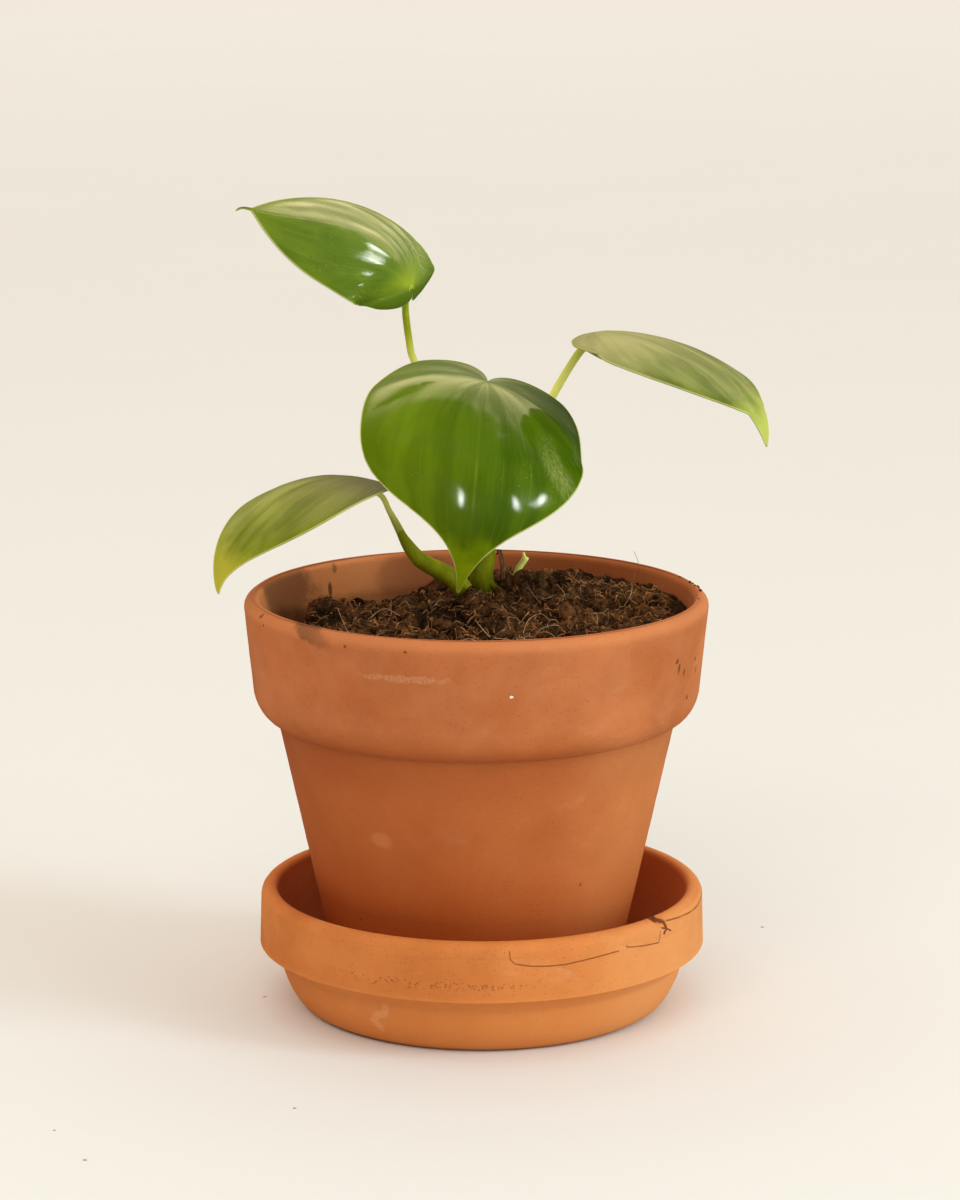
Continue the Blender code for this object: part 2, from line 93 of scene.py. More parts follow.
class Signal:
    """One output of a node, used like a number."""

    def __init__(self, nodes, socket):
        self.nodes, self.socket = nodes, socket

    def math(self, operation, *values):
        return self.nodes.add("Math", {"operation": operation}, dict(enumerate(values)))

    def __add__(self, other):
        return self.math("ADD", self, other)

    def __sub__(self, other):
        return self.math("SUBTRACT", self, other)

    def __rsub__(self, other):
        return self.math("SUBTRACT", other, self)

    def __mul__(self, other):
        return self.math("MULTIPLY", self, other)

    def __truediv__(self, other):
        return self.math("DIVIDE", self, other)

    def __pow__(self, other):
        return self.math("POWER", self, other)

    __radd__ = __add__
    __rmul__ = __mul__

    def least(self, other):
        return self.math("MINIMUM", self, other)

    def most(self, other):
        return self.math("MAXIMUM", self, other)

    def ramp(self, low, high):
        """0 at low and 1 at high, with a soft start and end. Low may be the larger."""
        values = dict(enumerate((self, low, high, 0.0, 1.0)))
        return self.nodes.add("MapRange", {"interpolation_type": "SMOOTHSTEP"}, values)


class Nodes:
    """A node tree that grows by one method."""

    def __init__(self, tree):
        self.tree = tree

    def add(self, kind, settings=None, values=None, out=0):
        node = self.tree.nodes.new("ShaderNode" + kind)
        for name, value in (settings or {}).items():
            setattr(node, name, value)
        for key, value in (values or {}).items():
            socket = node.inputs[key]
            if isinstance(value, Signal):
                self.tree.links.new(value.socket, socket)
            elif socket.type == "RGBA" and len(value) == 3:
                socket.default_value = (*value, 1)
            else:
                socket.default_value = value
        return Signal(self, node.outputs[out])

    def mix(self, share, first, second):
        """From the first colour at 0 to the second at 1."""
        return self.add("Mix", {"data_type": "RGBA"}, {0: share, 6: first, 7: second}, out=2)

    def split(self, vector):
        outputs = self.add("SeparateXYZ", None, {0: vector}).socket.node.outputs
        return [Signal(self, socket) for socket in outputs]


class Finish(Nodes):
    """A material of one shader, with its coordinates in millimetres."""

    def __init__(self, name, specular):
        self.material = bpy.data.materials.new(name)
        self.material.use_nodes = True
        super().__init__(self.material.node_tree)
        self.shader = self.tree.nodes["Principled BSDF"].inputs
        self.shader["Specular IOR Level"].default_value = specular
        metres = self.add("TexCoord", out=3)
        self.place = self.add("VectorMath", {"operation": "SCALE"}, {0: metres, "Scale": 1 / MM})
        self.colour = None

    def drawn_out(self, scale, shift=(0, 0, 0)):
        """The place with each axis scaled, for grain that runs one way."""
        return self.add("Mapping", None, {0: self.place, "Scale": scale, "Location": shift})

    def grain(self, size, detail=2.0, rough=0.5, place=None, twist=0.0):
        """Soft noise from 0 to 1 with features about size millimetres wide."""
        values = {"Vector": place or self.place, "Scale": 1 / size}
        values.update({"Detail": detail, "Roughness": rough, "Distortion": twist})
        return self.add("TexNoise", None, values)

    def streaks(self, scale, detail=3, rough=0.6, shift=(0, 0, 0), twist=0.0):
        """Noise drawn out by a scale for each axis."""
        return self.grain(1.0, detail, rough, self.drawn_out(scale, shift), twist)

    def cells(self, size, place=None):
        """Distance to the nearest of scattered points, in parts of size."""
        return self.add("TexVoronoi", None, {"Vector": place or self.place, "Scale": 1 / size})

    def attribute(self, name):
        return self.add("Attribute", {"attribute_name": name}, out=2)

    def spot(self, centre, radius, ragged, grain):
        """1 inside a soft, ragged ball round a place, and 0 outside."""
        away = self.add("VectorMath", {"operation": "DISTANCE"}, {0: self.place, 1: centre}, out=1)
        return (away + (grain - 0.5) * ragged).ramp(radius, radius * 0.45)

    def ground(self, share, first, second):
        """The colour that all the others lie on, mixed from two."""
        self.colour = self.mix(share, first, second)

    def lay(self, share, colour):
        """Lays a share of one more colour over what is there."""
        self.colour = self.mix(share, self.colour, colour)

    def paint(self, roughness, height, depth, coat=None):
        """Wires the sums to the shader. Height is in parts of depth, in millimetres."""
        bump = self.add("Bump", None, {"Strength": 1.0, "Distance": depth * MM, "Height": height})
        wires = {"Base Color": self.colour, "Roughness": roughness, "Normal": bump}
        if coat:
            wires["Coat Weight"] = coat
        for name, signal in wires.items():
            self.tree.links.new(signal.socket, self.shader[name])
        print(self.material.name, len(self.tree.nodes), "nodes")
        return self.material


def shade(colour, share):
    return tuple(c * share for c in colour)


# %% [markdown]
# The floor is one wide pale disc, with a few crumbs of soil on it. It is left
# out of reflections, so that it does not wash out the deep green of the leaves.

# %% Floor
CREAM = (0.79, 0.815, 0.835)
FLOOR_RADIUS = 12  # metres, far out of the picture
FLOOR_CRUMBS = ((-62, -1, 0.7), (85, 68, 0.8), (-49, -96, 0.7), (-100, -135, 0.8), (-110, -113, 0.6))


def floor_finish():
    finish = Finish("studio_floor", 0.05)
    mottle = finish.grain(9, 4)
    finish.ground(finish.grain(260, 3), CREAM, shade(CREAM, 1.03))
    finish.lay(mottle * 0.06, shade(CREAM, 0.86))
    for x, y, radius in FLOOR_CRUMBS:
        finish.lay(finish.spot((x, y, 0), radius, 0.7, finish.grain(0.6)) * 0.8, (0.20, 0.12, 0.07))
    return finish.paint(0.85 + mottle * 0.1, mottle, 0.05)


def add_floor():
    work = bmesh.new()
    bmesh.ops.create_circle(work, cap_ends=True, radius=FLOOR_RADIUS, segments=96)
    mesh = bpy.data.meshes.new("floor")
    work.to_mesh(mesh)
    work.free()
    mesh.materials.append(floor_finish())
    floor = bpy.data.objects.new("floor", mesh)
    scene.collection.objects.link(floor)
    floor.visible_glossy = False


add_floor()

# %% [markdown]
# The light is a soft studio. A cool lamp and a lit wall at the right model the
# clay and throw the soft shadow to the left, a big warm lamp at the front opens
# the shadows, and one behind lights the backdrop. Glossy leaves would mirror
# such lamps as hard shapes, so these four light matte colour only. The bright
# spots on the two glossiest leaves are reflections of windows, and come from
# four small panels that show as reflections only.

# %% Lights
Lamp = namedtuple("Lamp", "name kind azimuth elevation strength colour distance size aim lean spread")
Window = namedtuple("Window", "name azimuth elevation radiance distance size aim lean spread")
WHITE, COOL, WARM = (1.0, 1.0, 1.0), (0.72, 0.92, 1.0), (1.0, 0.93, 0.82)
CENTRE = Vector((0, 0, 120)) * MM
BACKDROP = Vector((0, 3, 0))
ON_LEAF = Vector((2, -30, 149)) * MM  # where the front leaf mirrors the windows
ON_UPPER_LEAF = Vector((-31, 8, 212)) * MM
WIDE = 180  # a spread in degrees that leaves a panel as it is
LAMPS = (
    Lamp("key_lamp", "SUN", 70, 32, 0.62, COOL, 1.8, (16, 0), CENTRE, 0, WIDE),
    Lamp("right_wall", "AREA", 62, 9, 3.9, (0.80, 0.98, 1.0), 1.8, (1.2, 1.0), CENTRE, 0, WIDE),
    Lamp("front_fill", "AREA", -14, 36, 3.5, WARM, 2.2, (1.6, 0.8), CENTRE, 0, WIDE),
    Lamp("backdrop_lamp", "AREA", 180, 60, 0.48, WARM, 4, (6, 4), BACKDROP, 0, WIDE),
)
WINDOWS = (
    Window("upper_window", 77, 43, 40, 0.12, (0.085, 0.070), ON_UPPER_LEAF, 0, 30),
    Window("left_window", -12, -11, 80, 0.34, (0.030, 0.12), ON_LEAF, -20, 17),
    Window("middle_window", 25, -3, 80, 0.34, (0.032, 0.10), ON_LEAF, -18, 17),
    Window("right_window", 42, 5, 80, 0.34, (0.034, 0.17), ON_LEAF, -44, 24),
)


def facing(azimuth, elevation):
    """A direction in degrees, azimuth from the front towards the right."""
    a, e = math.radians(azimuth), math.radians(elevation)
    return Vector((math.sin(a) * math.cos(e), -math.cos(a) * math.cos(e), math.sin(e)))


def add_light(lamp, mirrored):
    """A light that looks at a place. Its strength is a sun's irradiance, or a panel's radiance."""
    data = bpy.data.lights.new(lamp.name, lamp.kind)
    data.color = lamp.colour
    if lamp.kind == "SUN":
        data.energy, data.angle = lamp.strength, math.radians(lamp.size[0])
    else:
        data.shape, data.size, data.size_y = "RECTANGLE", *lamp.size
        data.energy = lamp.strength * math.pi * lamp.size[0] * lamp.size[1]
    if lamp.spread < WIDE:
        half = math.radians(lamp.spread / 2)
        data.spread = 2 * half
        data.energy *= 1 - half / math.tan(half)  # a narrow panel is otherwise brighter by this
    light = bpy.data.objects.new(lamp.name, data)
    toward = facing(lamp.azimuth, lamp.elevation)
    light.location = lamp.aim + toward * lamp.distance
    lean = Quaternion((0, 0, 1), math.radians(lamp.lean))
    light.rotation_euler = (toward.to_track_quat("Z", "Y") @ lean).to_euler()
    light.visible_diffuse, light.visible_glossy = not mirrored, mirrored
    light.visible_camera = False
    scene.collection.objects.link(light)


for lamp in LAMPS:
    add_light(lamp, False)
for name, azimuth, elevation, radiance, *rest in WINDOWS:
    add_light(Lamp(name, "AREA", azimuth, elevation, radiance, WHITE, *rest), True)

# %% [markdown]
# The world holds three rooms. The camera sees a plain cream backdrop. Matte
# surfaces are lit by a bright wall and ceiling behind the plant, with a dark
# room in front, which keeps the greens deep. Mirrors see the same room with one
# bright band high on the wall behind, which draws the pale sheen on the leaves.

# %% World
BRIGHT_WALL, BACKDROP_CREAM = (1.23, 1.06, 0.87), (0.905, 0.835, 0.735)
MIRRORED_ROOM, MIRRORED_WALL = (1.06, 0.91, 0.74), (3.8, 2.95, 1.9)
BLACK = (0, 0, 0)
IS_CAMERA, IS_GLOSSY = 0, 3  # outputs of the light path node


def add_world():
    world = bpy.data.worlds.new("studio")
    world.use_nodes = True
    scene.world = world
    nodes = Nodes(world.node_tree)
    _, y, z = nodes.split(nodes.add("TexCoord"))
    above, behind = z.ramp(0.05, 0.75), y.ramp(-0.35, 0.55)
    lit = (1 - (1 - above) * (1 - behind)) * z.ramp(-0.2, 0.05)
    matte = nodes.mix(lit * 0.53 + 0.21, BLACK, BRIGHT_WALL)
    dim = z.ramp(0.80, 0.95).most(z.ramp(0.45, 0.20))
    room = (lit * 0.88 + 0.10) * (1 - dim * 0.75) * (1 - y.ramp(0.10, -0.35) * 0.8)
    sheen = y.ramp(-0.02, 0.30) * z.ramp(0.28, 0.50) * z.ramp(0.96, 0.87)
    mirrored = nodes.mix(sheen, nodes.mix(room, BLACK, MIRRORED_ROOM), MIRRORED_WALL)
    shown = nodes.mix(nodes.add("LightPath", out=IS_GLOSSY), matte, mirrored)
    shown = nodes.mix(nodes.add("LightPath", out=IS_CAMERA), shown, BACKDROP_CREAM)
    nodes.tree.links.new(shown.socket, nodes.tree.nodes["Background"].inputs["Color"])


add_world()

# %% [markdown]
# Each finished piece is handed over in the same way: its mesh is scaled from
# millimetres to metres, its object stays at the origin and is hung on the body
# that it rides on, and the plain nodes that it stands for are hidden.

# %% Finishing a piece


def finished(work, name, material, slot, *nodes, sharp=None):
    bmesh.ops.transform(work, matrix=Matrix.Scale(MM, 4), verts=work.verts)
    mesh = bpy.data.meshes.new(name)
    work.to_mesh(mesh)
    work.free()
    mesh.shade_smooth()
    if sharp:
        mesh.set_sharp_from_angle(angle=math.radians(sharp))
    mesh.materials.append(material)
    piece = bpy.data.objects.new(name, mesh)
    scene.collection.objects.link(piece)
    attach(piece, "root")
    if nodes:
        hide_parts(*nodes)
    triangles = sum(len(face.vertices) - 2 for face in mesh.polygons)
    print(f"{name}: {triangles} triangles for {', '.join(nodes) or 'no node'}")
    return piece


def wander(place, size, seed=0.0):
    """Noise from -1 to 1 at a place, with features about size millimetres wide."""
    return noise.noise(Vector(place) / size + Vector((seed, seed * 1.7, seed * 0.3)))


def clamped(value, low=0.0, high=1.0):
    return min(max(value, low), high)


# %% [markdown]
# The pot and the saucer are thrown shapes, so each is half a section spun round
# its axis. Real clay is never perfectly round: the wheel leaves faint lines
# round the wall and the wall wanders by a tenth of a millimetre, and that is
# moved into the mesh after the spin. The section is cut into short steps first,
# so that there are enough points to move.

# %% Sections
POT_X = -1.5
POT_FOOT, POT_TOP = 7.0, 117.7
RIM_RADIUS, BAND_FOOT_RADIUS, BAND_FOOT = 65.0, 62.6, 90.7
BODY_TOP_RADIUS, BODY_TOP, FOOT_RADIUS = 56.0, 82.7, 39.6
POT_WALL, RIM_WALL, POT_FLOOR, DRAIN_RADIUS = 5.0, 4.5, 6.0, 6.0
LIP_OUTER_ROUND, LIP_INNER_ROUND, EDGE_ROUND = 3.0, 2.0, 1.5
SAUCER_TOP, SAUCER_RADIUS = 34.4, 62.6
SAUCER_BAND_FOOT_RADIUS, SAUCER_BAND_FOOT = 63.0, 17.9
SAUCER_BODY_TOP_RADIUS, SAUCER_BODY_TOP, SAUCER_BASE_RADIUS = 57.4, 13.5, 52.7
SAUCER_WALL, SAUCER_FLOOR = 5.0, 6.7


def arc(centre, radius, start, end, steps=6):
    """Points (r, z) along a round, from start to end in degrees."""
    angles = [math.radians(start + (end - start) * i / steps) for i in range(steps + 1)]
    return [(centre[0] + radius * math.cos(a), centre[1] + radius * math.sin(a)) for a in angles]


def bend(start, corner, end, steps=8):
    """Points of a curve that leaves start towards corner and comes to end from it."""
    points = []
    for i in range(steps + 1):
        t = i / steps
        weights = ((1 - t) ** 2, 2 * t * (1 - t), t * t)
        near = list(zip(weights, (start, corner, end)))
        points.append(tuple(sum(w * p[k] for w, p in near) for k in (0, 1)))
    return points


def lip_outside(radius, top):
    return arc((radius - LIP_OUTER_ROUND, top - LIP_OUTER_ROUND), LIP_OUTER_ROUND, 90, 0)


def lip_inside(radius, top):
    return arc((radius + LIP_INNER_ROUND, top - LIP_INNER_ROUND), LIP_INNER_ROUND, 180, 90, 4)


def under_band(band_radius, band_z, body_radius, body_z):
    """The round below a band, where it draws in to the body."""
    corner = (body_radius + 0.8 * (band_radius - body_radius), body_z + 0.2 * (band_z - body_z))
    return bend((band_radius, band_z), corner, (body_radius, body_z))


def pot_inner_radius(z):
    """The pot's inside radius at a height above the ground."""
    levels = (
        (POT_FOOT, FOOT_RADIUS - POT_WALL),
        (BODY_TOP - POT_WALL, BODY_TOP_RADIUS - POT_WALL - 1),
        (BAND_FOOT - 1, BAND_FOOT_RADIUS - POT_WALL),
        (POT_TOP, RIM_RADIUS - RIM_WALL),
    )
    for (low, low_r), (high, high_r) in zip(levels, levels[1:]):
        if z <= high:
            return low_r + (high_r - low_r) * (z - low) / (high - low)
    return RIM_RADIUS - RIM_WALL


def pot_section():
    floor_z = POT_FOOT + POT_FLOOR
    points = lip_outside(RIM_RADIUS, POT_TOP)
    points += under_band(BAND_FOOT_RADIUS, BAND_FOOT, BODY_TOP_RADIUS, BODY_TOP)
    points += arc((FOOT_RADIUS - EDGE_ROUND, POT_FOOT + EDGE_ROUND), EDGE_ROUND, -5, -90, 4)
    points += [(DRAIN_RADIUS, POT_FOOT), (DRAIN_RADIUS, floor_z)]
    points += [(pot_inner_radius(z), z) for z in (floor_z, BODY_TOP - POT_WALL, BAND_FOOT - 1)]
    return points + lip_inside(pot_inner_radius(POT_TOP), POT_TOP)


def saucer_section():
    inner, foot = SAUCER_RADIUS - SAUCER_WALL, SAUCER_BASE_RADIUS
    body_r, body_z = SAUCER_BODY_TOP_RADIUS, SAUCER_BODY_TOP
    band_foot = (SAUCER_BAND_FOOT_RADIUS, SAUCER_BAND_FOOT)
    points = lip_outside(SAUCER_RADIUS, SAUCER_TOP)
    points += bend(band_foot, (body_r + 2.5, body_z + 2.8), (body_r, body_z))
    points += bend((body_r, body_z), (body_r - 1.8, 5.5), (foot - 1.0, EDGE_ROUND))[1:]
    points += [(foot - 4.0, 0), (0, 0), (0, SAUCER_FLOOR)]
    points += bend((foot - 8, SAUCER_FLOOR), (inner - 5, SAUCER_FLOOR), (inner - 4.5, 14))
    return points + lip_inside(inner, SAUCER_TOP)


def in_steps(section, longest):
    """The same section with no step longer than longest."""
    points = []
    for a, b in zip(section, section[1:] + section[:1]):
        count = max(1, math.ceil(math.dist(a, b) / longest))
        points += [tuple(p + (q - p) * i / count for p, q in zip(a, b)) for i in range(count)]
    return points


def spun(section, steps):
    """A closed section in millimetres, spun once round +Z."""
    work = bmesh.new()
    points = [work.verts.new((r, 0, z)) for r, z in section]
    edges = [work.edges.new(pair) for pair in zip(points, points[1:] + points[:1])]
    turn = {"axis": (0, 0, 1), "cent": (0, 0, 0), "angle": math.tau}
    bmesh.ops.spin(work, geom=points + edges, steps=steps, use_merge=True, **turn)
    bmesh.ops.remove_doubles(work, verts=work.verts, dist=0.001)
    bmesh.ops.recalc_face_normals(work, faces=work.faces)
    return work


def hand_thrown(work, wander_by, seed):
    """Moves the clay a little in or out, with faint lines round the wall."""
    for vert in work.verts:
        x, y, z = vert.co
        if math.hypot(x, y) < DRAIN_RADIUS + 1 or z < EDGE_ROUND:
            continue
        slow = wander((x, y, z), 30, seed) * wander_by
        lines = wander((x * 0.02, y * 0.02, z), 1.7, seed + 5) * 0.05
        grit = wander((x, y, z), 1.6, seed + 9) * 0.03
        vert.co += vert.normal * (slow + lines + grit - wander_by)


print("pot section:", len(pot_section()), "points, saucer section:", len(saucer_section()))

# %% [markdown]
# Terracotta is a matte, porous clay. Up close it has fine sand grain, darker
# pores, faint lines from the wheel and cloudy patches where water has drawn
# salts to the surface. One function writes all that, and each pot adds its own
# marks on top: damp, scratches, smears of soil, cracks, and painted light and shade.

# %% Terracotta
Clay = namedtuple("Clay", "light deep pale")
BUMP = 0.14  # millimetres


def clay(finish, tone):
    """Colours bare clay, and gives its height and its sand."""
    cloud = finish.grain(38, 4, 0.6)
    patch = finish.grain(13, 3, 0.55, finish.drawn_out((1, 1, 1.8), (7, 3, 1)))
    sand = finish.grain(0.55, 3, 0.7)
    lines = finish.streaks((0.02, 0.02, 0.9))
    pores = finish.cells(1.3).ramp(0.22, 0.08)
    finish.ground(cloud.ramp(0.3, 0.72), tone.deep, tone.light)
    finish.lay(lines.ramp(0.55, 0.8) * 0.22, tone.deep)
    finish.lay(sand * 0.25, shade(tone.light, 0.72))
    finish.lay(pores * 0.3, shade(tone.deep, 0.35))
    finish.lay(patch.ramp(0.58, 0.78) * sand.ramp(0.3, 0.7) * 0.35, tone.pale)
    return sand * 0.5 + lines * 0.35 - pores * 0.5, sand


class Wall:
    """A round wall unrolled: marks are placed by millimetres across from the front, and height."""

    def __init__(self, finish, axis_x, radius):
        x, y, self.up = finish.split(finish.place)
        x = x - axis_x
        self.across = x.math("ARCTAN2", x, 0 - y) * radius
        self.reach = (x * x + y * y) ** 0.5
        self.back = math.pi * radius  # where the way round from the left meets the way from the right

    def lamp_side(self, to):
        """1 on the right side, towards the lamps, fading to 0 at the front and at the back."""
        return self.across.ramp(20, to) * self.across.ramp(self.back, 130)


def line_mask(across, up, points, width, sand):
    """1 along a line of straight runs, which the sand makes uneven."""
    nearest = None
    across = across + (sand - 0.5) * 0.8
    for (ax, ay), (bx, by) in zip(points, points[1:]):
        dx, dy = bx - ax, by - ay
        px, py = across - ax, up - ay
        share = ((px * dx + py * dy) / (dx * dx + dy * dy)).least(1.0).most(0.0)
        qx, qy = px - share * dx, py - share * dy
        away = qx * qx + qy * qy
        nearest = nearest.least(away) if nearest else away
    return (nearest**0.5).ramp(width, width * 0.4)


def patch_mask(across, up, centre, size, ragged, grain):
    """1 inside a ragged oval on the wall. Size is half its width and half its height."""
    px, py = (across - centre[0]) / size[0], (up - centre[1]) / size[1]
    away = (px * px + py * py) ** 0.5 + (grain - 0.5) * ragged
    return away.ramp(1.1, 0.6)


# %% The pot's clay
POT_CLAY = Clay((0.56, 0.185, 0.066), (0.41, 0.118, 0.037), (0.62, 0.31, 0.17))

# Dark specks on the pot's wall: place, then half size.
POT_SPECKS = (
    ((66.5, 105.5), (1.0, 0.8)), ((68, 103.2), (0.7, 1.9)), ((71.5, 101.5), (0.6, 1.1)),
    ((82, 100), (0.5, 1.3)), ((80, 103.5), (0.8, 0.6)), ((76, 93.5), (0.8, 0.8)),
    ((-75, 116.5), (0.9, 0.7)), ((-72, 114.6), (0.5, 0.5)), ((42, 44), (0.6, 0.6)),
    ((-52, 32), (0.6, 0.5)), ((-37, 114.5), (0.5, 0.5)), ((-19, 114.6), (0.6, 0.4)),
)
# Painted shadows on the pot's inside, one on the left wall and one cast by the shoot
# at the back, and two small dark streaks: place, half size and how dark.
INNER_SHADOWS_AND_STREAKS = (
    ((-128, 113), (21, 14), 0.62), ((-153, 110), (1.0, 2.6), 0.8),
    ((-155.5, 115.6), (1.3, 2.0), 0.5), ((-184, 111), (13, 8), 0.32),
)


def pot_finish():
    finish = Finish("terracotta", 0.04)
    height, sand = clay(finish, POT_CLAY)
    wall = Wall(finish, POT_X, RIM_RADIUS)
    across, up = wall.across, wall.up
    cloud, fine = finish.grain(16, 4, 0.6), finish.grain(3.2, 3, 0.6)
    inside = (wall.reach - up * 0.089).ramp(51.8, 50.6) * up.ramp(88, 91)
    uneven = up + (cloud - 0.5) * 14
    # Darker clay under the band: damp, with painted shade below the band's overhang.
    damp_and_under_band_shade = up.ramp(88, 80) * uneven.ramp(64, 79) * 0.85
    right = wall.lamp_side(60)
    finish.lay(up.ramp(89, 92) * (1 - inside) * cloud.ramp(0.35, 0.7) * 0.3, (0.50, 0.20, 0.095))
    finish.lay(damp_and_under_band_shade * 0.42, (0.24, 0.072, 0.028))
    # Painted shade: below the band the body is darker, except on the right towards the lamps.
    finish.lay(up.ramp(90, 84) * (1 - right) * 0.55, (0.38, 0.09, 0.021))
    # Darker, redder clay towards the foot: damp, with painted shade from the saucer's rim.
    finish.lay(uneven.ramp(60, 16) * 0.92, (0.44, 0.080, 0.012))
    # Painted light: the body is lighter on the right, towards the lamps.
    finish.lay(up.ramp(88, 78) * right * 0.25, (0.74, 0.28, 0.085))
    finish.lay(up.ramp(113.4, 116.6) * (1 - inside) * 0.4, (0.70, 0.27, 0.11))
    # Painted shade inside the pot.
    finish.lay(inside * 0.3, (0.46, 0.12, 0.045))
    # Painted light on the inside of the left wall, which faces the lamps.
    lit_inner_left = inside * across.ramp(-20, -60) * across.ramp(-190, -160)
    finish.lay(lit_inner_left * 0.75, (0.90, 0.34, 0.125))
    soiled = inside * (up + (cloud - 0.5) * 5).ramp(109.5, 105.5)
    finish.lay(soiled * 0.5, (0.14, 0.05, 0.022))
    # Painted shadows and small dark streaks on the inside.
    for centre, size, depth in INNER_SHADOWS_AND_STREAKS:
        shadow_and_streak = inside * patch_mask(across, up, centre, size, 1.5, cloud)
        finish.lay(shadow_and_streak * depth, (0.075, 0.034, 0.022))
    smear = patch_mask(across, up + (across + 49) * 0.25, (-49.5, 115.8), (9.5, 2.7), 1.3, fine)
    finish.lay(smear * across.ramp(-36, -52) * 0.62, (0.13, 0.055, 0.026))
    salts = patch_mask(across, up, (-21, 107), (15, 1.1), 1.6, fine) * sand.ramp(0.35, 0.6)
    finish.lay(salts * 0.28, (0.72, 0.44, 0.28))
    # A painted highlight: a pale patch on the body's front left.
    finish.lay(patch_mask(across, up, (-35, 58), (5, 2.6), 0.9, fine) * 0.22, (0.68, 0.30, 0.13))
    specks, speck_grain = 0.0, finish.grain(1.1, 2, 0.6)
    for centre, size in POT_SPECKS:
        specks = patch_mask(across, up, centre, size, 1.4, speck_grain) + specks
    finish.lay(specks.least(1.0) * 0.75, (0.09, 0.035, 0.018))
    chip = patch_mask(across, up, (9.6, 102.6), (0.6, 0.4), 0.8, speck_grain)
    finish.lay(chip, (0.86, 0.78, 0.66))
    return finish.paint(0.86 - damp_and_under_band_shade * 0.12 - inside * 0.1, height - chip, BUMP)


# %% The saucer's clay
SAUCER_CLAY = Clay((0.70, 0.25, 0.075), (0.54, 0.165, 0.042), (0.80, 0.45, 0.24))

# Cracks and scratches on the saucer's wall, by places along them.
FLAKE_EDGE = (
    (7.5, 32.1), (7.6, 30.0), (8.9, 28.7), (13.7, 27.8), (18, 27.5),
    (23, 27.5), (30, 28.1), (34.5, 28.5), (39.8, 28.8),
)
FLAKE_STEP = ((42.4, 29.8), (42.8, 29.3), (48.5, 28.5), (55.5, 27.9), (56.4, 30.8))
RIM_CRACK = ((60.0, 33.0), (66, 32.4), (74, 31.8), (82, 31.6), (92, 32.0), (100, 32.8))
RIM_SPLIT = ((57.0, 34.4), (58.8, 32.6), (59.4, 31.0), (58.2, 29.9))
RIM_STAR = ((57.8, 31.4), (59.4, 31.0), (61.4, 29.9))
SMUDGE = ((-30, 13), (-30.4, 11), (-33.5, 10), (-35, 8), (-33, 6))


def saucer_finish():
    finish = Finish("saucer_terracotta", 0.04)
    height, sand = clay(finish, SAUCER_CLAY)
    wall = Wall(finish, 0, SAUCER_RADIUS)
    across, up, reach = wall.across, wall.up, wall.reach
    cloud, fine = finish.grain(14, 4, 0.6), finish.grain(2.4, 3, 0.6)
    within = (reach - up.least(18)).ramp(42.6, 41.6)
    inside = reach.ramp(59.2, 57.6) * within * up.ramp(5, 6)
    # Painted light: the foot below the band is lighter.
    finish.lay(up.ramp(20, 17) * (0.5 + cloud * 0.3), (0.68, 0.24, 0.068))
    # Painted shade inside the saucer.
    finish.lay(inside * 0.55, (0.38, 0.09, 0.034))
    # Painted light on the right side, towards the lamps.
    finish.lay(wall.lamp_side(62) * (1 - inside) * 0.35, (0.74, 0.36, 0.14))
    rings = finish.streaks((0.015, 0.015, 0.55), 2, shift=(0, 0, 4))
    finish.lay(rings.ramp(0.52, 0.72) * up.ramp(26, 31) * 0.3, (0.48, 0.13, 0.035))
    crack = line_mask(across, up, FLAKE_EDGE, 0.21, fine)
    step = line_mask(across, up, FLAKE_STEP, 0.21, fine)
    hair = line_mask(across, up, RIM_CRACK, 0.26, fine)
    broken = finish.grain(5, 2).ramp(0.25, 0.5)
    cut = crack.most(step).most(hair) * (0.35 + broken * 0.65)
    finish.lay(cut * 0.75, (0.26, 0.065, 0.022))
    shard = finish.grain(1.6, 2, 0.6)
    notch = patch_mask(across + (up - 33) * 0.8, up, (57.6, 33.6), (2.0, 1.2), 1.2, shard)
    for line, width in ((RIM_SPLIT, 0.5), (RIM_STAR, 0.3)):
        notch = notch.most(line_mask(across, up, line, width, shard))
    finish.lay(notch * 0.9, (0.14, 0.028, 0.012))
    row = patch_mask(across, up, (-18, 22.4), (38, 1.5), 0.9, cloud)
    pits = finish.cells(0.9, finish.drawn_out((1, 1, 1.3))).ramp(0.36, 0.16) * row * broken
    finish.lay(pits * 0.7, (0.34, 0.095, 0.03))
    smudge = line_mask(across, up, SMUDGE, 1.6, fine) * sand.ramp(0.3, 0.6)
    finish.lay(smudge * 0.24, (0.88, 0.55, 0.32))
    return finish.paint(0.84 - inside * 0.08, height - cut * 2.2 - pits * 1.6 - notch * 1.5, BUMP)


# %% [markdown]
# The pot is spun as it is. The saucer also has a small chip out of its rim at
# the front right, which is pressed into the mesh where the cracks meet.

# %% Pot and saucer
CLAY_EDGE = 50  # degrees: a turn sharper than this stays a hard edge
NOTCH_TURN, NOTCH_WIDTH, NOTCH_DEPTH, NOTCH_FOOT = 52.5, 2.6, 1.5, 30.5


def pot_piece():
    work = spun(in_steps(pot_section(), 2.4), 256)
    hand_thrown(work, 0.12, 3.1)
    bmesh.ops.translate(work, vec=(POT_X, 0, 0), verts=work.verts)
    finished(work, "thrown_pot", pot_finish(), "terracotta", "pot", sharp=CLAY_EDGE)


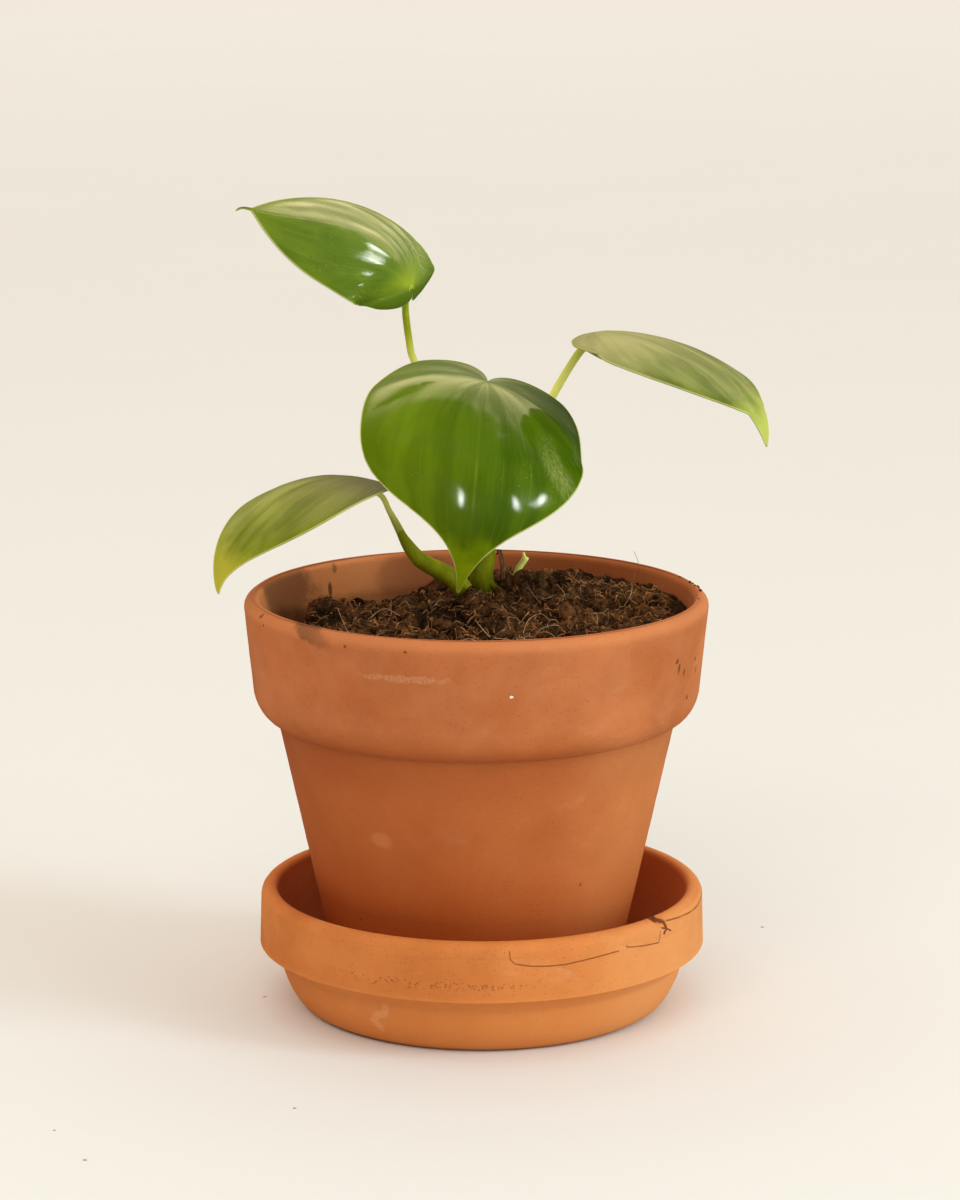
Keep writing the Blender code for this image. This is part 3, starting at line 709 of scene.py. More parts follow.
def saucer_piece():
    work = spun(in_steps(saucer_section(), 1.8), 384)
    hand_thrown(work, 0.10, 8.4)
    for vert in work.verts:
        x, y, z = vert.co
        turn = math.degrees(math.atan2(x, -y))
        near = max(0, 1 - abs(turn - NOTCH_TURN + wander((x, y, z), 1.5) * 1.2) / NOTCH_WIDTH)
        deep = near * clamped((z - NOTCH_FOOT) / 2.5) * NOTCH_DEPTH
        if deep and math.hypot(x, y) > SAUCER_RADIUS - 3.2:
            vert.co.z -= deep * (0.8 + 0.4 * wander((x, y, z), 0.9))
            vert.co -= Vector((x, y, 0)).normalized() * deep * 0.7
    finished(work, "thrown_saucer", saucer_finish(), "saucer_terracotta", "saucer", sharp=CLAY_EDGE)


pot_piece()
saucer_piece()

# %% [markdown]
# Potting compost is peat and bark: dark clods that cling together, with loose
# crumbs and pale root fibres on top. The bed is one spun sheet whose points are
# raised by a mound and by noise at four sizes, and the crumbs and fibres are
# many small closed pieces set on it, so that the outline is rough too.

# %% Compost bed
COMPOST_LEVEL, COMPOST_RISE, COMPOST_FOOT, WALL_GAP = 110.6, 0.03, 13.3, 0.4
BED_STEP, BED_RINGS = 0.65, 90
COMPOST_LUMPS = (  # place from the pot's axis, height and spread
    (-43, 10, 3.5, 6), (-16, 11, 4.0, 5), (2, 2, 4.2, 13), (10, 24, 6.0, 7),
    (25, 17, 6.0, 8), (43, 13, 3.0, 6), (-24, -18, 1.5, 10), (30, -20, 1.8, 12),
    (12.5, 9.0, 4.6, 2.6), (18, 10, 2.6, 3), (-1.5, 3.0, 2.4, 2.6), (-33, 36, -4.2, 11),
    (-16, 42, -3.6, 10), (-34, 50, -3.2, 9), (-20, 57, -3.2, 9),
)
# On the left the bed has drawn back from the wall.
LEFT_GAP_X, LEFT_GAP_SLOPE, LEFT_GAP_DEPTH = -46.5, 5.0, 16.0
WET_SOIL = ((-13, -8, 14), (40, 26, 11), (-44, 0, 8), (22, -34, 8), (-2, 16, 7), (20, 4, 6))
# The darkest soil colour: wet patches, and painted shade in the hollows.
WET_SOIL_AND_SHADE = (0.010, 0.005, 0.003)


def mound(x, y):
    """The compost's even top, x and y from the pot's axis."""
    z = COMPOST_LEVEL + COMPOST_RISE * (x + y)
    for lump_x, lump_y, height, spread in COMPOST_LUMPS:
        z += height * math.exp(-((x - lump_x) ** 2 + (y - lump_y) ** 2) / (2 * spread**2))
    into_gap = clamped((LEFT_GAP_X - x) / LEFT_GAP_SLOPE)
    return z - LEFT_GAP_DEPTH * into_gap**2 * (3 - 2 * into_gap)


def clods(x, y):
    """How far the clods and crumbs stand above the mound, in millimetres."""
    coarse = 2.0 * wander((x, y, 0), 7.5, 1.3) + 1.9 * abs(wander((x, y, 3), 4.2, 2.1))
    return coarse - 0.7 + 0.95 * wander((x, y, 5), 2.0, 4.4) + 0.4 * wander((x, y, 8), 1.1, 6.0)


def bed_height(x, y):
    return mound(x, y) + clods(x, y)


def bed_piece(material):
    heights = (POT_TOP, BAND_FOOT - 1, BODY_TOP - POT_WALL, COMPOST_FOOT)
    section = [(BED_STEP * i, POT_TOP) for i in range(BED_RINGS)]
    section += [(pot_inner_radius(z) - WALL_GAP, z) for z in heights]
    work = spun(section + [(0, COMPOST_FOOT)], 360)
    # How far each point lies below the clods, for painted shade in the hollows.
    painted_hollow_shade = work.verts.layers.float.new("painted_hollow_shade")
    for vert in work.verts:
        if vert.co.z < POT_TOP - 1:
            continue
        x, y, _ = vert.co
        z = bed_height(x, y)
        vert[painted_hollow_shade] = clamped((0.35 - clods(x, y)) / 1.4)
        x += 0.7 * wander((x, y, 11), 2.4, 7)
        y += 0.7 * wander((x, y, 17), 2.4, 9)
        pull = min(1, (pot_inner_radius(z) - WALL_GAP) / max(math.hypot(x, y), 0.001))
        vert.co = (x * pull, y * pull, z)
    bmesh.ops.translate(work, vec=(POT_X, 0, 0), verts=work.verts)
    finished(work, "compost_bed", material, "peat_compost", "compost")


def compost_finish():
    finish = Finish("peat_compost", 0.05)
    clump = finish.grain(5, 4, 0.65)
    crumb = finish.grain(0.8, 4, 0.75, twist=0.6)
    fibre = finish.streaks((0.5, 2.8, 1.4), twist=1.2)
    shreds = finish.streaks((2.6, 0.5, 1.6), shift=(5, 2, 8), twist=1.2)
    finish.ground(clump.ramp(0.38, 0.68), (0.024, 0.010, 0.005), (0.19, 0.080, 0.030))
    finish.lay(crumb.ramp(0.5, 0.68) * 0.7, (0.36, 0.16, 0.06))
    finish.lay(fibre.ramp(0.60, 0.70) * 0.65, (0.40, 0.19, 0.075))
    finish.lay(shreds.ramp(0.62, 0.72) * 0.6, (0.34, 0.145, 0.05))
    finish.lay(crumb.ramp(0.42, 0.30) * 0.75, (0.013, 0.006, 0.004))
    # Painted shade in the hollows between clods.
    finish.lay(finish.attribute("painted_hollow_shade") * 0.8, WET_SOIL_AND_SHADE)
    for x, y, radius in WET_SOIL:
        finish.lay(finish.spot((x, y, COMPOST_LEVEL), radius, 8, clump) * 0.8, WET_SOIL_AND_SHADE)
    moss = finish.grain(6, 3, 0.6, finish.drawn_out((1, 1, 1), (3, 9, 2)))
    finish.lay(moss.ramp(0.58, 0.70) * 0.3, (0.11, 0.085, 0.018))
    return finish.paint(0.9 + clump * 0.08, crumb + fibre * 0.6 + shreds * 0.5, 0.8)


compost_material = compost_finish()
bed_piece(compost_material)

# %% [markdown]
# Each crumb is a small ball, squashed, turned and pulled out of round. They are
# scattered over the bed in three sizes, with a few large clods where the
# photograph shows them and a few tiny ones along the pot's rim.

# %% Crumbs
random.seed(41)
STEM_FEET = ((1.5, 12.0, 4.6), (-6.0, 6.5, 4.8), (9.2, 12.5, 2.2))  # kept clear of crumbs
CRUMB_SIZES = ((22, 1.8, 3.0, 3), (130, 0.9, 1.8, 2), (1500, 0.28, 0.85, 1))  # count, sizes, detail
RIM_CRUMBS = (
    (56.5, 21.8), (60.1, 9.1), (60.9, 7.6), (61.2, 2.2), (60.2, -8.7), (59.0, 14.0), (59.6, 12.5),
)
CLODS = (
    (8.2, 8.0, 2.0), (11.8, 7.2, 2.6), (15.5, 8.6, 2.4), (19.5, 9.8, 2.0),
    (4.8, 7.2, 1.6), (-2.6, 2.4, 1.7), (-6.5, 0.5, 1.5),
)


def scattered(reach):
    """A random place on the bed, from the frame's origin."""
    while True:
        turn, away = random.uniform(0, math.tau), reach * math.sqrt(random.random())
        x, y = away * math.cos(turn), away * math.sin(turn)
        if all(math.hypot(x + POT_X - fx, y - fy) > clear for fx, fy, clear in STEM_FEET):
            if x > LEFT_GAP_X - 2 or random.random() < 0.25:
                return Vector((x + POT_X, y, bed_height(x, y)))


def lump(work, centre, size, detail):
    wide, deep, high = random.uniform(0.7, 1.3), random.uniform(0.7, 1.3), random.uniform(0.55, 0.95)
    squash = Matrix.Diagonal((wide, deep, high, 1))
    axis = (random.gauss(0, 1), random.gauss(0, 1), random.gauss(0, 1))
    turned = Quaternion(axis, random.uniform(0, 3))
    matrix = Matrix.Translation(centre) @ turned.to_matrix().to_4x4() @ squash
    made = bmesh.ops.create_icosphere(work, subdivisions=detail, radius=size, matrix=matrix)
    for vert in made["verts"]:
        out = vert.co - centre
        vert.co = centre + out * (1 + 0.6 * wander(vert.co, size * 1.1, 2.2))


def in_batches(jobs, make, batch=60):
    """Many small shapes in one mesh, made a few at a time, which keeps each step short."""
    whole = bmesh.new()
    for first in range(0, len(jobs), batch):
        part = bmesh.new()
        for job in jobs[first : first + batch]:
            make(part, *job)
        mesh = bpy.data.meshes.new("batch")
        part.to_mesh(mesh)
        part.free()
        whole.from_mesh(mesh)
        bpy.data.meshes.remove(mesh)
    return whole


def crumbs_piece():
    jobs = [(Vector((x, y, bed_height(x - POT_X, y) + size * 0.3)), size, 3) for x, y, size in CLODS]
    for count, low, high, detail in CRUMB_SIZES:
        for _ in range(count):
            size = random.uniform(low, high)
            centre = scattered(56 - size)
            centre.z += size * random.uniform(-0.2, 0.4)
            jobs.append((centre, size, detail))
    for x, y in RIM_CRUMBS:
        size = random.uniform(0.25, 0.48)
        jobs.append((Vector((x, y, POT_TOP + size * 0.3)), size, 1))
    finished(in_batches(jobs, lump), "compost_crumbs", compost_material, "peat_compost")


crumbs_piece()

# %% [markdown]
# Roots, stalks and stems are all round things along a curve. The route is given
# as a few points with a radius each; a smooth curve runs through them, and a ring
# is extruded from station to station along it, turning as little as it can.

# %% Tubes


def smooth_route(route, samples):
    """A smooth curve through a route's points (x, y, z, radius)."""
    first = tuple(2 * a - b for a, b in zip(route[0], route[1]))
    last = tuple(2 * a - b for a, b in zip(route[-1], route[-2]))
    points = [first, *route, last]
    made = []
    for i in range(1, len(points) - 2):
        for step in range(samples):
            t = step / samples
            weights = (
                -0.5 * t + t**2 - 0.5 * t**3,
                1 - 2.5 * t**2 + 1.5 * t**3,
                0.5 * t + 2 * t**2 - 1.5 * t**3,
                -0.5 * t**2 + 0.5 * t**3,
            )
            near = points[i - 1 : i + 3]
            made.append(tuple(sum(w * p[k] for w, p in zip(weights, near)) for k in range(4)))
    return made + [tuple(route[-1])]


def stations(route):
    """A matrix for each point of a route, whose X and Y are its ring and whose Z runs along it."""
    places = [Vector(p[:3]) for p in route]
    made, across = [], None
    for i, place in enumerate(places):
        along = (places[min(i + 1, len(places) - 1)] - places[max(i - 1, 0)]).normalized()
        if across is None:
            across = along.orthogonal()
        across = (across - across.dot(along) * along).normalized()
        radius = route[i][3]
        columns = (across * radius, along.cross(across) * radius, along, place)
        made.append(Matrix([(*[c[k] for c in columns],) for k in range(3)] + [(0, 0, 0, 1)]))
    return made


def tube(work, route, sides):
    """Extrudes a ring along a route and closes both ends."""
    frames = stations(route)
    ring = bmesh.ops.create_circle(work, cap_ends=True, radius=1, segments=sides, matrix=frames[0])
    edges = list({edge for vert in ring["verts"] for edge in vert.link_edges})
    for before, after in zip(frames, frames[1:]):
        new = bmesh.ops.extrude_edge_only(work, edges=edges)["geom"]
        verts = [g for g in new if isinstance(g, bmesh.types.BMVert)]
        edges = [g for g in new if isinstance(g, bmesh.types.BMEdge)]
        edges = [edge for edge in edges if all(vert in verts for vert in edge.verts)]
        bmesh.ops.transform(work, matrix=after @ before.inverted(), verts=verts)
    bmesh.ops.edgeloop_fill(work, edges=edges)


# %% [markdown]
# Fine roots and shreds of bark lie over the bed. A few roots stand out in the
# photograph and are placed one by one. The rest start at random places and wander
# over the bed a little above it, in two lots of roots and one of bark.

# %% Fibres and bark
Shreds = namedtuple("Shreds", "count low high thin thick curl rise steps")
LONG_ROOTS = Shreds(16, 8, 15, 0.06, 0.11, 0.35, 2.0, 8)
SHORT_ROOTS = Shreds(60, 3, 8, 0.05, 0.09, 0.5, 1.2, 5)
BARK = Shreds(1300, 1.0, 4.0, 0.09, 0.30, 0.5, 1.0, 3)
LOOP_RADIUS = 0.10
LOOPS = (
    (
        (11.3, -24.8, 111.5), (12.4, -17.0, 112.9), (13.9, -11.8, 113.3),
        (16.4, -8.0, 113.4), (18.9, -13.1, 112.6),
    ),
    ((14.8, -23.5, 111.6), (17.0, -22.4, 112.6), (19.8, -20.0, 112.8), (22.5, -19.0, 112.0)),
    ((-1.9, -12.1, 112.6), (0.0, -22.5, 112.4), (2.2, -30.1, 111.6)),
    ((3.4, -30.1, 111.4), (7.5, -33.5, 111.6), (11.3, -37.5, 111.0)),
    ((-6.4, -35.0, 111.4), (-3.6, -33.0, 111.8), (-0.9, -34.5, 111.3)),
    ((-40.8, 8.1, 112.0), (-39.2, -5.2, 111.8), (-37.2, -16.9, 110.6)),
    ((-31.7, -5.2, 111.2), (-27.4, 1.4, 112.8), (-22.9, -1.2, 111.4)),
    ((46.0, -10.0, 112.2), (49.1, -12.5, 112.6), (51.5, -15.0, 111.8)),
    ((43.5, 38.0, 111.0), (44.2, 38.4, 114.5), (45.3, 38.8, 118.0), (44.0, 38.6, 121.8)),
)


def wandering(start, heading, length, radius, curl, rise, steps):
    """The route of a thin fibre that wanders over the bed from a place."""
    place, route = Vector(start), []
    turn = random.uniform(-curl, curl)
    for i in range(steps + 1):
        ground = bed_height(place.x - POT_X, place.y) + radius + 0.15
        ground += rise * math.sin(math.pi * i / steps)
        share = 1 - 0.6 * i / steps
        route.append((place.x, place.y, ground + random.uniform(-0.1, 0.25), radius * share))
        heading += turn + random.uniform(-0.35, 0.35) * curl
        place += Vector((math.cos(heading), math.sin(heading), 0)) * length / steps
        if math.hypot(place.x - POT_X, place.y) > 57:
            heading += 2
    return route


def shredded(lot):
    """Routes of many short pieces in random places."""
    routes = []
    for _ in range(lot.count):
        start = scattered(54)
        length, radius = random.uniform(lot.low, lot.high), random.uniform(lot.thin, lot.thick)
        heading, rise = random.uniform(0, math.tau), random.uniform(0, lot.rise)
        routes.append(wandering(start, heading, length, radius, lot.curl, rise, lot.steps))
    return routes


def strand_finish(name, specular, patch, colours, grit, dust, rough, bump):
    finish = Finish(name, specular)
    fine = finish.grain(grit, 2)
    finish.ground(finish.grain(patch, 2).ramp(0.35, 0.65), *colours)
    finish.lay(fine * 0.3, dust)
    return finish.paint(rough + fine * 0.15, fine, bump)


def strands_piece(name, routes, material):
    work = in_batches([(route, 4) for route in routes], tube)
    bmesh.ops.recalc_face_normals(work, faces=work.faces)
    finished(work, name, material, "peat_compost")


root_tones = ((0.26, 0.13, 0.06), (0.66, 0.44, 0.26))
bark_tones = ((0.085, 0.034, 0.013), (0.44, 0.19, 0.068))
root_material = strand_finish("root_fibre", 0.2, 5, root_tones, 0.5, (0.62, 0.42, 0.26), 0.75, 0.05)
bark_material = strand_finish("bark_shreds", 0.1, 2.5, bark_tones, 0.4, (0.40, 0.21, 0.10), 0.8, 0.06)
loops = [smooth_route([(*place, LOOP_RADIUS) for place in loop], 5) for loop in LOOPS]
strands_piece("compost_fibres", loops + shredded(LONG_ROOTS) + shredded(SHORT_ROOTS), root_material)
strands_piece("compost_bark", shredded(BARK), bark_material)

# %% [markdown]
# Each leaf is one thin sheet. Its midrib is a Bezier curve in space, the blade
# folds and curls away from it on both sides, and the margin is drawn as a heart
# with a drip tip. The grid starts at the petiole and reaches out to the margin
# all round. Lines called `across` run from the base to the tip as arcs, in the
# way that a heart-shaped leaf's veins do: that number is kept on every point, and
# it shapes the quilted bands in the mesh and draws the veins in the finish.

# %% Leaf values
Leaf = namedtuple(
    "Leaf",
    "base leave arrive tip face_base face_tip fold curl lobe_drop lobe_length lobe_width"
    " widest_at half_width shoulder slender tip_width tail tail_half tail_hook fuller sinus",
)
LEAVES = {
    "leaf_front": Leaf(
        (1.5, -2.3, 177.5), (-3.5, -27.9, -1.9), (6.6, -17.9, 27.5), (-6.6, -21.4, 122.2),
        (84, 73), (-10, -24), (0, 0), (36, 41), 1, 0.24, 0.28,
        0.30, 0.452, 0.68, 0.58, 0.056, 0.015, 0.6, 0, (0, 0), 0.35,
    ),
    "leaf_upper": Leaf(
        (-19.6, 13.2, 201.4), (-3.9, -2.7, 21.2), (13.5, 2.2, -6.0), (-67.7, 6.6, 225.6),
        (29, 56), (-37, 45), (9, 14), (30, 11), 62, 0.112, 0.165,
        0.32, 0.352, 0.62, 0.06, 0.040, 0.075, 0.45, 35, (0.06, -0.03), 0.05,
    ),
    "leaf_right": Leaf(
        (31.5, 8.6, 189.7), (13.9, -0.4, 2.4), (-1.8, 3.6, 23.4), (78.6, -5.2, 159.8),
        (-4, 94), (31, 72), (2, -1), (46, 23), 12, 0.106, 0.157,
        0.155, 0.452, 0.62, 0.10, 0.14, 0.16, 3.9, 0, (-0.2, 0.045), 0.35,
    ),
    "leaf_lower": Leaf(
        (-29.5, -1.9, 149.6), (-22.0, -13.0, 9.5), (-1.9, 5.9, 10.7), (-72.3, -18.5, 121.1),
        (-37, 78), (-22, 22), (-9, 9), (9, 52), 1, 0.012, 0.085,
        0.30, 0.36, 0.32, 0.22, 0.062, 0.03, 0.9, 0, (0, 0.0), 0.35,
    ),
}
BLADE_THICKNESS = 0.45
VEIN_SPACING = 0.125  # in parts of the turn from the midrib
RINGS, FINER, TAIL_STEPS = 44, 8, 12


def cubic(points, t):
    """A point on a Bezier curve of four points."""
    weights = ((1 - t) ** 3, 3 * (1 - t) ** 2 * t, 3 * (1 - t) * t**2, t**3)
    return sum((w * Vector(p) for w, p in zip(weights, points)), Vector([0] * len(points[0])))


class Midrib:
    """A leaf's midrib by arc length, with the direction that the blade faces along it."""

    STEPS = 120

    def __init__(self, leaf):
        base, tip = Vector(leaf.base), Vector(leaf.tip)
        handles = (base, base + Vector(leaf.leave), tip + Vector(leaf.arrive), tip)
        self.points = [cubic(handles, i / self.STEPS) for i in range(self.STEPS + 1)]
        self.travel = [0.0]
        for a, b in zip(self.points, self.points[1:]):
            self.travel.append(self.travel[-1] + (b - a).length)
        self.length = self.travel[-1]
        self.leaf = leaf

    def at(self, s):
        """Place, direction along, upward face and right-hand side, s millimetres from the base."""
        s = clamped(s, 0.0, self.length)
        i = min(bisect_right(self.travel, s), self.STEPS) - 1
        part = (s - self.travel[i]) / (self.travel[i + 1] - self.travel[i])
        place = self.points[i].lerp(self.points[i + 1], part)
        behind, ahead = self.points[max(i - 1, 0)], self.points[min(i + 2, self.STEPS)]
        along = (ahead - behind).normalized()
        share = (i + part) / self.STEPS
        look = facing(*self.leaf.face_base).lerp(facing(*self.leaf.face_tip), share)
        up = (look - look.dot(along) * along).normalized()
        return place, along, up, along.cross(up)


def on_blade(leaf, midrib, s, t):
    """The blade's surface, s along the midrib and t to its right."""
    place, along, up, right = midrib.at(s)
    if s < 0:
        rate = math.radians(leaf.lobe_drop) / (leaf.lobe_length * midrib.length)
        angle = rate * -s
        place = place - along * math.sin(angle) / rate - up * (1 - math.cos(angle)) / rate
        up = up * math.cos(angle) - along * math.sin(angle)
    side = 1 if t > 0 else 0
    fold = math.radians(leaf.fold[side])
    rate = math.radians(leaf.curl[side]) / (leaf.half_width * midrib.length)
    turned_to = fold + rate * abs(t)
    out = (math.sin(turned_to) - math.sin(fold)) / rate
    down = (math.cos(fold) - math.cos(turned_to)) / rate
    return place + right * math.copysign(out, t) - up * down


def smoothstep(x, low, high):
    x = clamped((x - low) / (high - low))
    return x * x * (3 - 2 * x)


def bent_blade(leaf, midrib, s, t):
    """The blade's surface, with the tail bent down at the tip."""
    point = on_blade(leaf, midrib, s, t)
    start = (1 - leaf.tail) * midrib.length
    if s > start and leaf.tail_hook:
        place, _, _, right = midrib.at(start)
        share = (s - start) / (midrib.length - start)
        point = place + Quaternion(right, -math.radians(leaf.tail_hook) * share**2) @ (point - place)
    return point


def blade_normal(leaf, midrib, s, t, step=0.25):
    """The way that the upper side faces, from four places round one."""
    along = bent_blade(leaf, midrib, s + step, t) - bent_blade(leaf, midrib, s - step, t)
    out = bent_blade(leaf, midrib, s, t + step) - bent_blade(leaf, midrib, s, t - step)
    return out.cross(along).normalized()


def half_outline(leaf, length, side):
    """The margin from the base round a lobe to the tip, as (along, out) in millimetres."""
    lobe, width, wide, half = leaf.lobe_length, leaf.lobe_width, leaf.widest_at, leaf.half_width
    blade_end = 1 - leaf.tail
    rest = blade_end - wide
    lobe_side = (-lobe, width + 0.55 * (half - width))
    ahead_of_lobe = (wide - 0.55 * (wide + lobe), half)
    past_widest = (wide + leaf.shoulder * rest, half)
    near_tip = (blade_end - leaf.slender * rest, leaf.tip_width)
    blade_tip = (blade_end, leaf.tail_half / length)
    pieces = (
        (3, (0, 0), (-0.55 * lobe, 0.057 * leaf.sinus), (-lobe, leaf.sinus * width), (-lobe, width)),
        (4, (-lobe, width), lobe_side, ahead_of_lobe, (wide, half)),
        (7, (wide, half), past_widest, near_tip, blade_tip),
    )
    points = []
    for steps, *handles in pieces:
        count = steps * FINER
        points += [cubic(handles, i / count) * length for i in range(count)]
    tail_root = Vector((blade_end * length, leaf.tail_half))
    points += [tail_root.lerp(Vector((length, 0.1)), i / TAIL_STEPS) for i in range(TAIL_STEPS)]
    points.append(Vector((length, 0)))
    for point in points:
        along = point.x / length
        fuller = smoothstep(along, 0.45, 0.8) * smoothstep(along, blade_end, blade_end - 0.05)
        point.y *= 1 + leaf.fuller[side] * fuller
    return points


def vein_turn(s, t, length):
    """0 on the midrib, growing to 1: constant along each arc from the base to the tip."""
    to_base, to_tip = Vector((-s, -t)), Vector((length - s, -t))
    if min(to_base.length, to_tip.length) < 0.01:
        return 0.0
    return 1 - to_base.angle(to_tip) / math.pi


# %% [markdown]
# A blade is never smooth. Between its main veins it is quilted, the midrib lies
# in a groove, the whole sheet is a little rucked and its margin waves. These are
# heights of a tenth of a millimetre or so, and they are moved into the mesh.

# %% Blades
Look = namedtuple("Look", "quilt groove crinkle wave seed")
LOOKS = {
    "leaf_front": Look(0.040, 0.015, 0.05, 0.08, 1.0),
    "leaf_upper": Look(0.150, 0.10, 0.16, 0.06, 2.0),
    "leaf_right": Look(0.090, 0.18, 0.10, 0.05, 3.0),
    "leaf_lower": Look(0.075, 0.10, 0.12, 0.05, 4.0),
}


def raised(look, length, s, t, share, across):
    """How far the blade stands above its smooth surface."""
    inside = smoothstep(share, 1.0, 0.82)
    inner = smoothstep(s / length, -0.02, 0.45) * smoothstep(s / length, 0.97, 0.75) * inside
    place = (s, t, look.seed * 10)
    uneven = 0.7 + 0.8 * wander(place, 16, look.seed + 7)
    bands = -look.quilt * math.cos(math.tau * across / VEIN_SPACING) * inner * uneven
    groove = -look.groove * math.exp(-((across / 0.016) ** 2)) * smoothstep(s, 0, 6) * inside
    ruck = look.crinkle * wander(place, 5.5, look.seed) * inside
    waves = look.wave * wander((s * 0.5, t, 0), 9, look.seed + 3)
    edge = waves * smoothstep(share, 0.5, 1.0) * smoothstep(s / length, 0.98, 0.8)
    return bands + groove + ruck + edge


def blade_piece(name, material):
    """A grid bent to the blade, then drawn downward into a thin closed sheet."""
    leaf, look = LEAVES[name], LOOKS[name]
    midrib = Midrib(leaf)
    left, right = (half_outline(leaf, midrib.length, side) for side in (0, 1))
    margin = [Vector((s, -t)) for s, t in left] + [p.copy() for p in reversed(right[:-1])]
    work = bmesh.new()
    for key in ("across", "along", "from_edge", "under"):
        work.verts.layers.float.new(key)
    into = work.verts.layers.float_vector.new("into")
    kept = work.verts.layers.float
    bmesh.ops.create_grid(work, x_segments=len(margin) - 1, y_segments=RINGS, size=0.5)
    for vert in work.verts:
        edge = margin[round((vert.co.x + 0.5) * (len(margin) - 1))]
        share = vert.co.y + 0.5
        s, t = edge * share
        across, normal = vein_turn(s, t, midrib.length), blade_normal(leaf, midrib, s, t)
        lift = raised(look, midrib.length, s, t, share, across) + BLADE_THICKNESS / 2
        vert.co = bent_blade(leaf, midrib, s, t) + normal * lift
        vert[kept["across"]], vert[kept["along"]] = across, s / midrib.length
        vert[kept["from_edge"]] = (1 - share) * edge.length
        vert[into] = normal * -BLADE_THICKNESS
    bmesh.ops.remove_doubles(work, verts=work.verts, dist=0.002)
    sheet = work.verts[:] + work.edges[:] + work.faces[:]
    for new in bmesh.ops.extrude_face_region(work, geom=sheet, use_keep_orig=True)["geom"]:
        if isinstance(new, bmesh.types.BMVert):
            new.co += new[into]
            new[kept["under"]] = 1
    work.verts.layers.float_vector.remove(into)
    bmesh.ops.recalc_face_normals(work, faces=work.faces)
    print(name, "edges without two faces:", sum(not edge.is_manifold for edge in work.edges))
    finished(work, "blade_" + name[5:], material, "leaf_green", name, sharp=55)


# %% [markdown]
# The finish follows the same veins. From the base to the tip run soft stripes of
# two greens, with pale main veins and finer ones between, and a pale line along
# the margin. The tips are paler. Near the base the right leaf has a painted sheen
# and the lower leaf a painted shade, and the left sides of the blades have painted
# light. A thin clear coat makes the gloss, and it is left off the underside and
# thinned over the veins and the painted base.

# %% Leaf finish
LeafTone = namedtuple(
    "LeafTone",
    "deep bright tip base_glow tip_glow vein coat coat_rough specular crinkle lit edge base base_share",
)
LEAF_TONES = {
    "leaf_front": LeafTone(
        (0.038, 0.080, 0.001), (0.080, 0.145, 0.0015), (0.30, 0.42, 0.003),
        0.2, 0.9, 0.16, 0.55, 0.11, 0.02, 0.5, 0.6, 0.8, (0, 0, 0), 0.0,
    ),
    "leaf_upper": LeafTone(
        (0.060, 0.115, 0.002), (0.110, 0.175, 0.007), (0.24, 0.30, 0.020),
        0.8, 0.3, 0.18, 0.80, 0.09, 0.10, 3.0, 0.1, 0.45, (0, 0, 0), 0.0,
    ),
    "leaf_right": LeafTone(
        (0.065, 0.105, 0.006), (0.170, 0.215, 0.030), (0.46, 0.52, 0.10),
        0.35, 0.9, 0.20, 0.48, 0.32, 0.06, 0.5, 0.0, 0.45, (0.42, 0.39, 0.16), 0.45,
    ),
    "leaf_lower": LeafTone(
        (0.105, 0.145, 0.003), (0.250, 0.285, 0.018), (0.46, 0.44, 0.04),
        0.1, 0.9, 0.12, 0.34, 0.30, 0.06, 0.6, 0.2, 0.6, (0.060, 0.066, 0.010), 0.85,
    ),
}
PALE_VEIN, PALE_MARGIN, SUNLIT = (0.24, 0.32, 0.045), (0.66, 0.66, 0.28), (0.19, 0.30, 0.006)
BURNT_TIP = (74.2, 3.2, 176.0)
# A painted reflection of a window: a pale streak on the front leaf's right side.
PAINTED_STREAK = ((16.0, 167), (18.3, 160), (21.2, 154.5), (24.2, 149.5))  # on the front leaf, as x and z


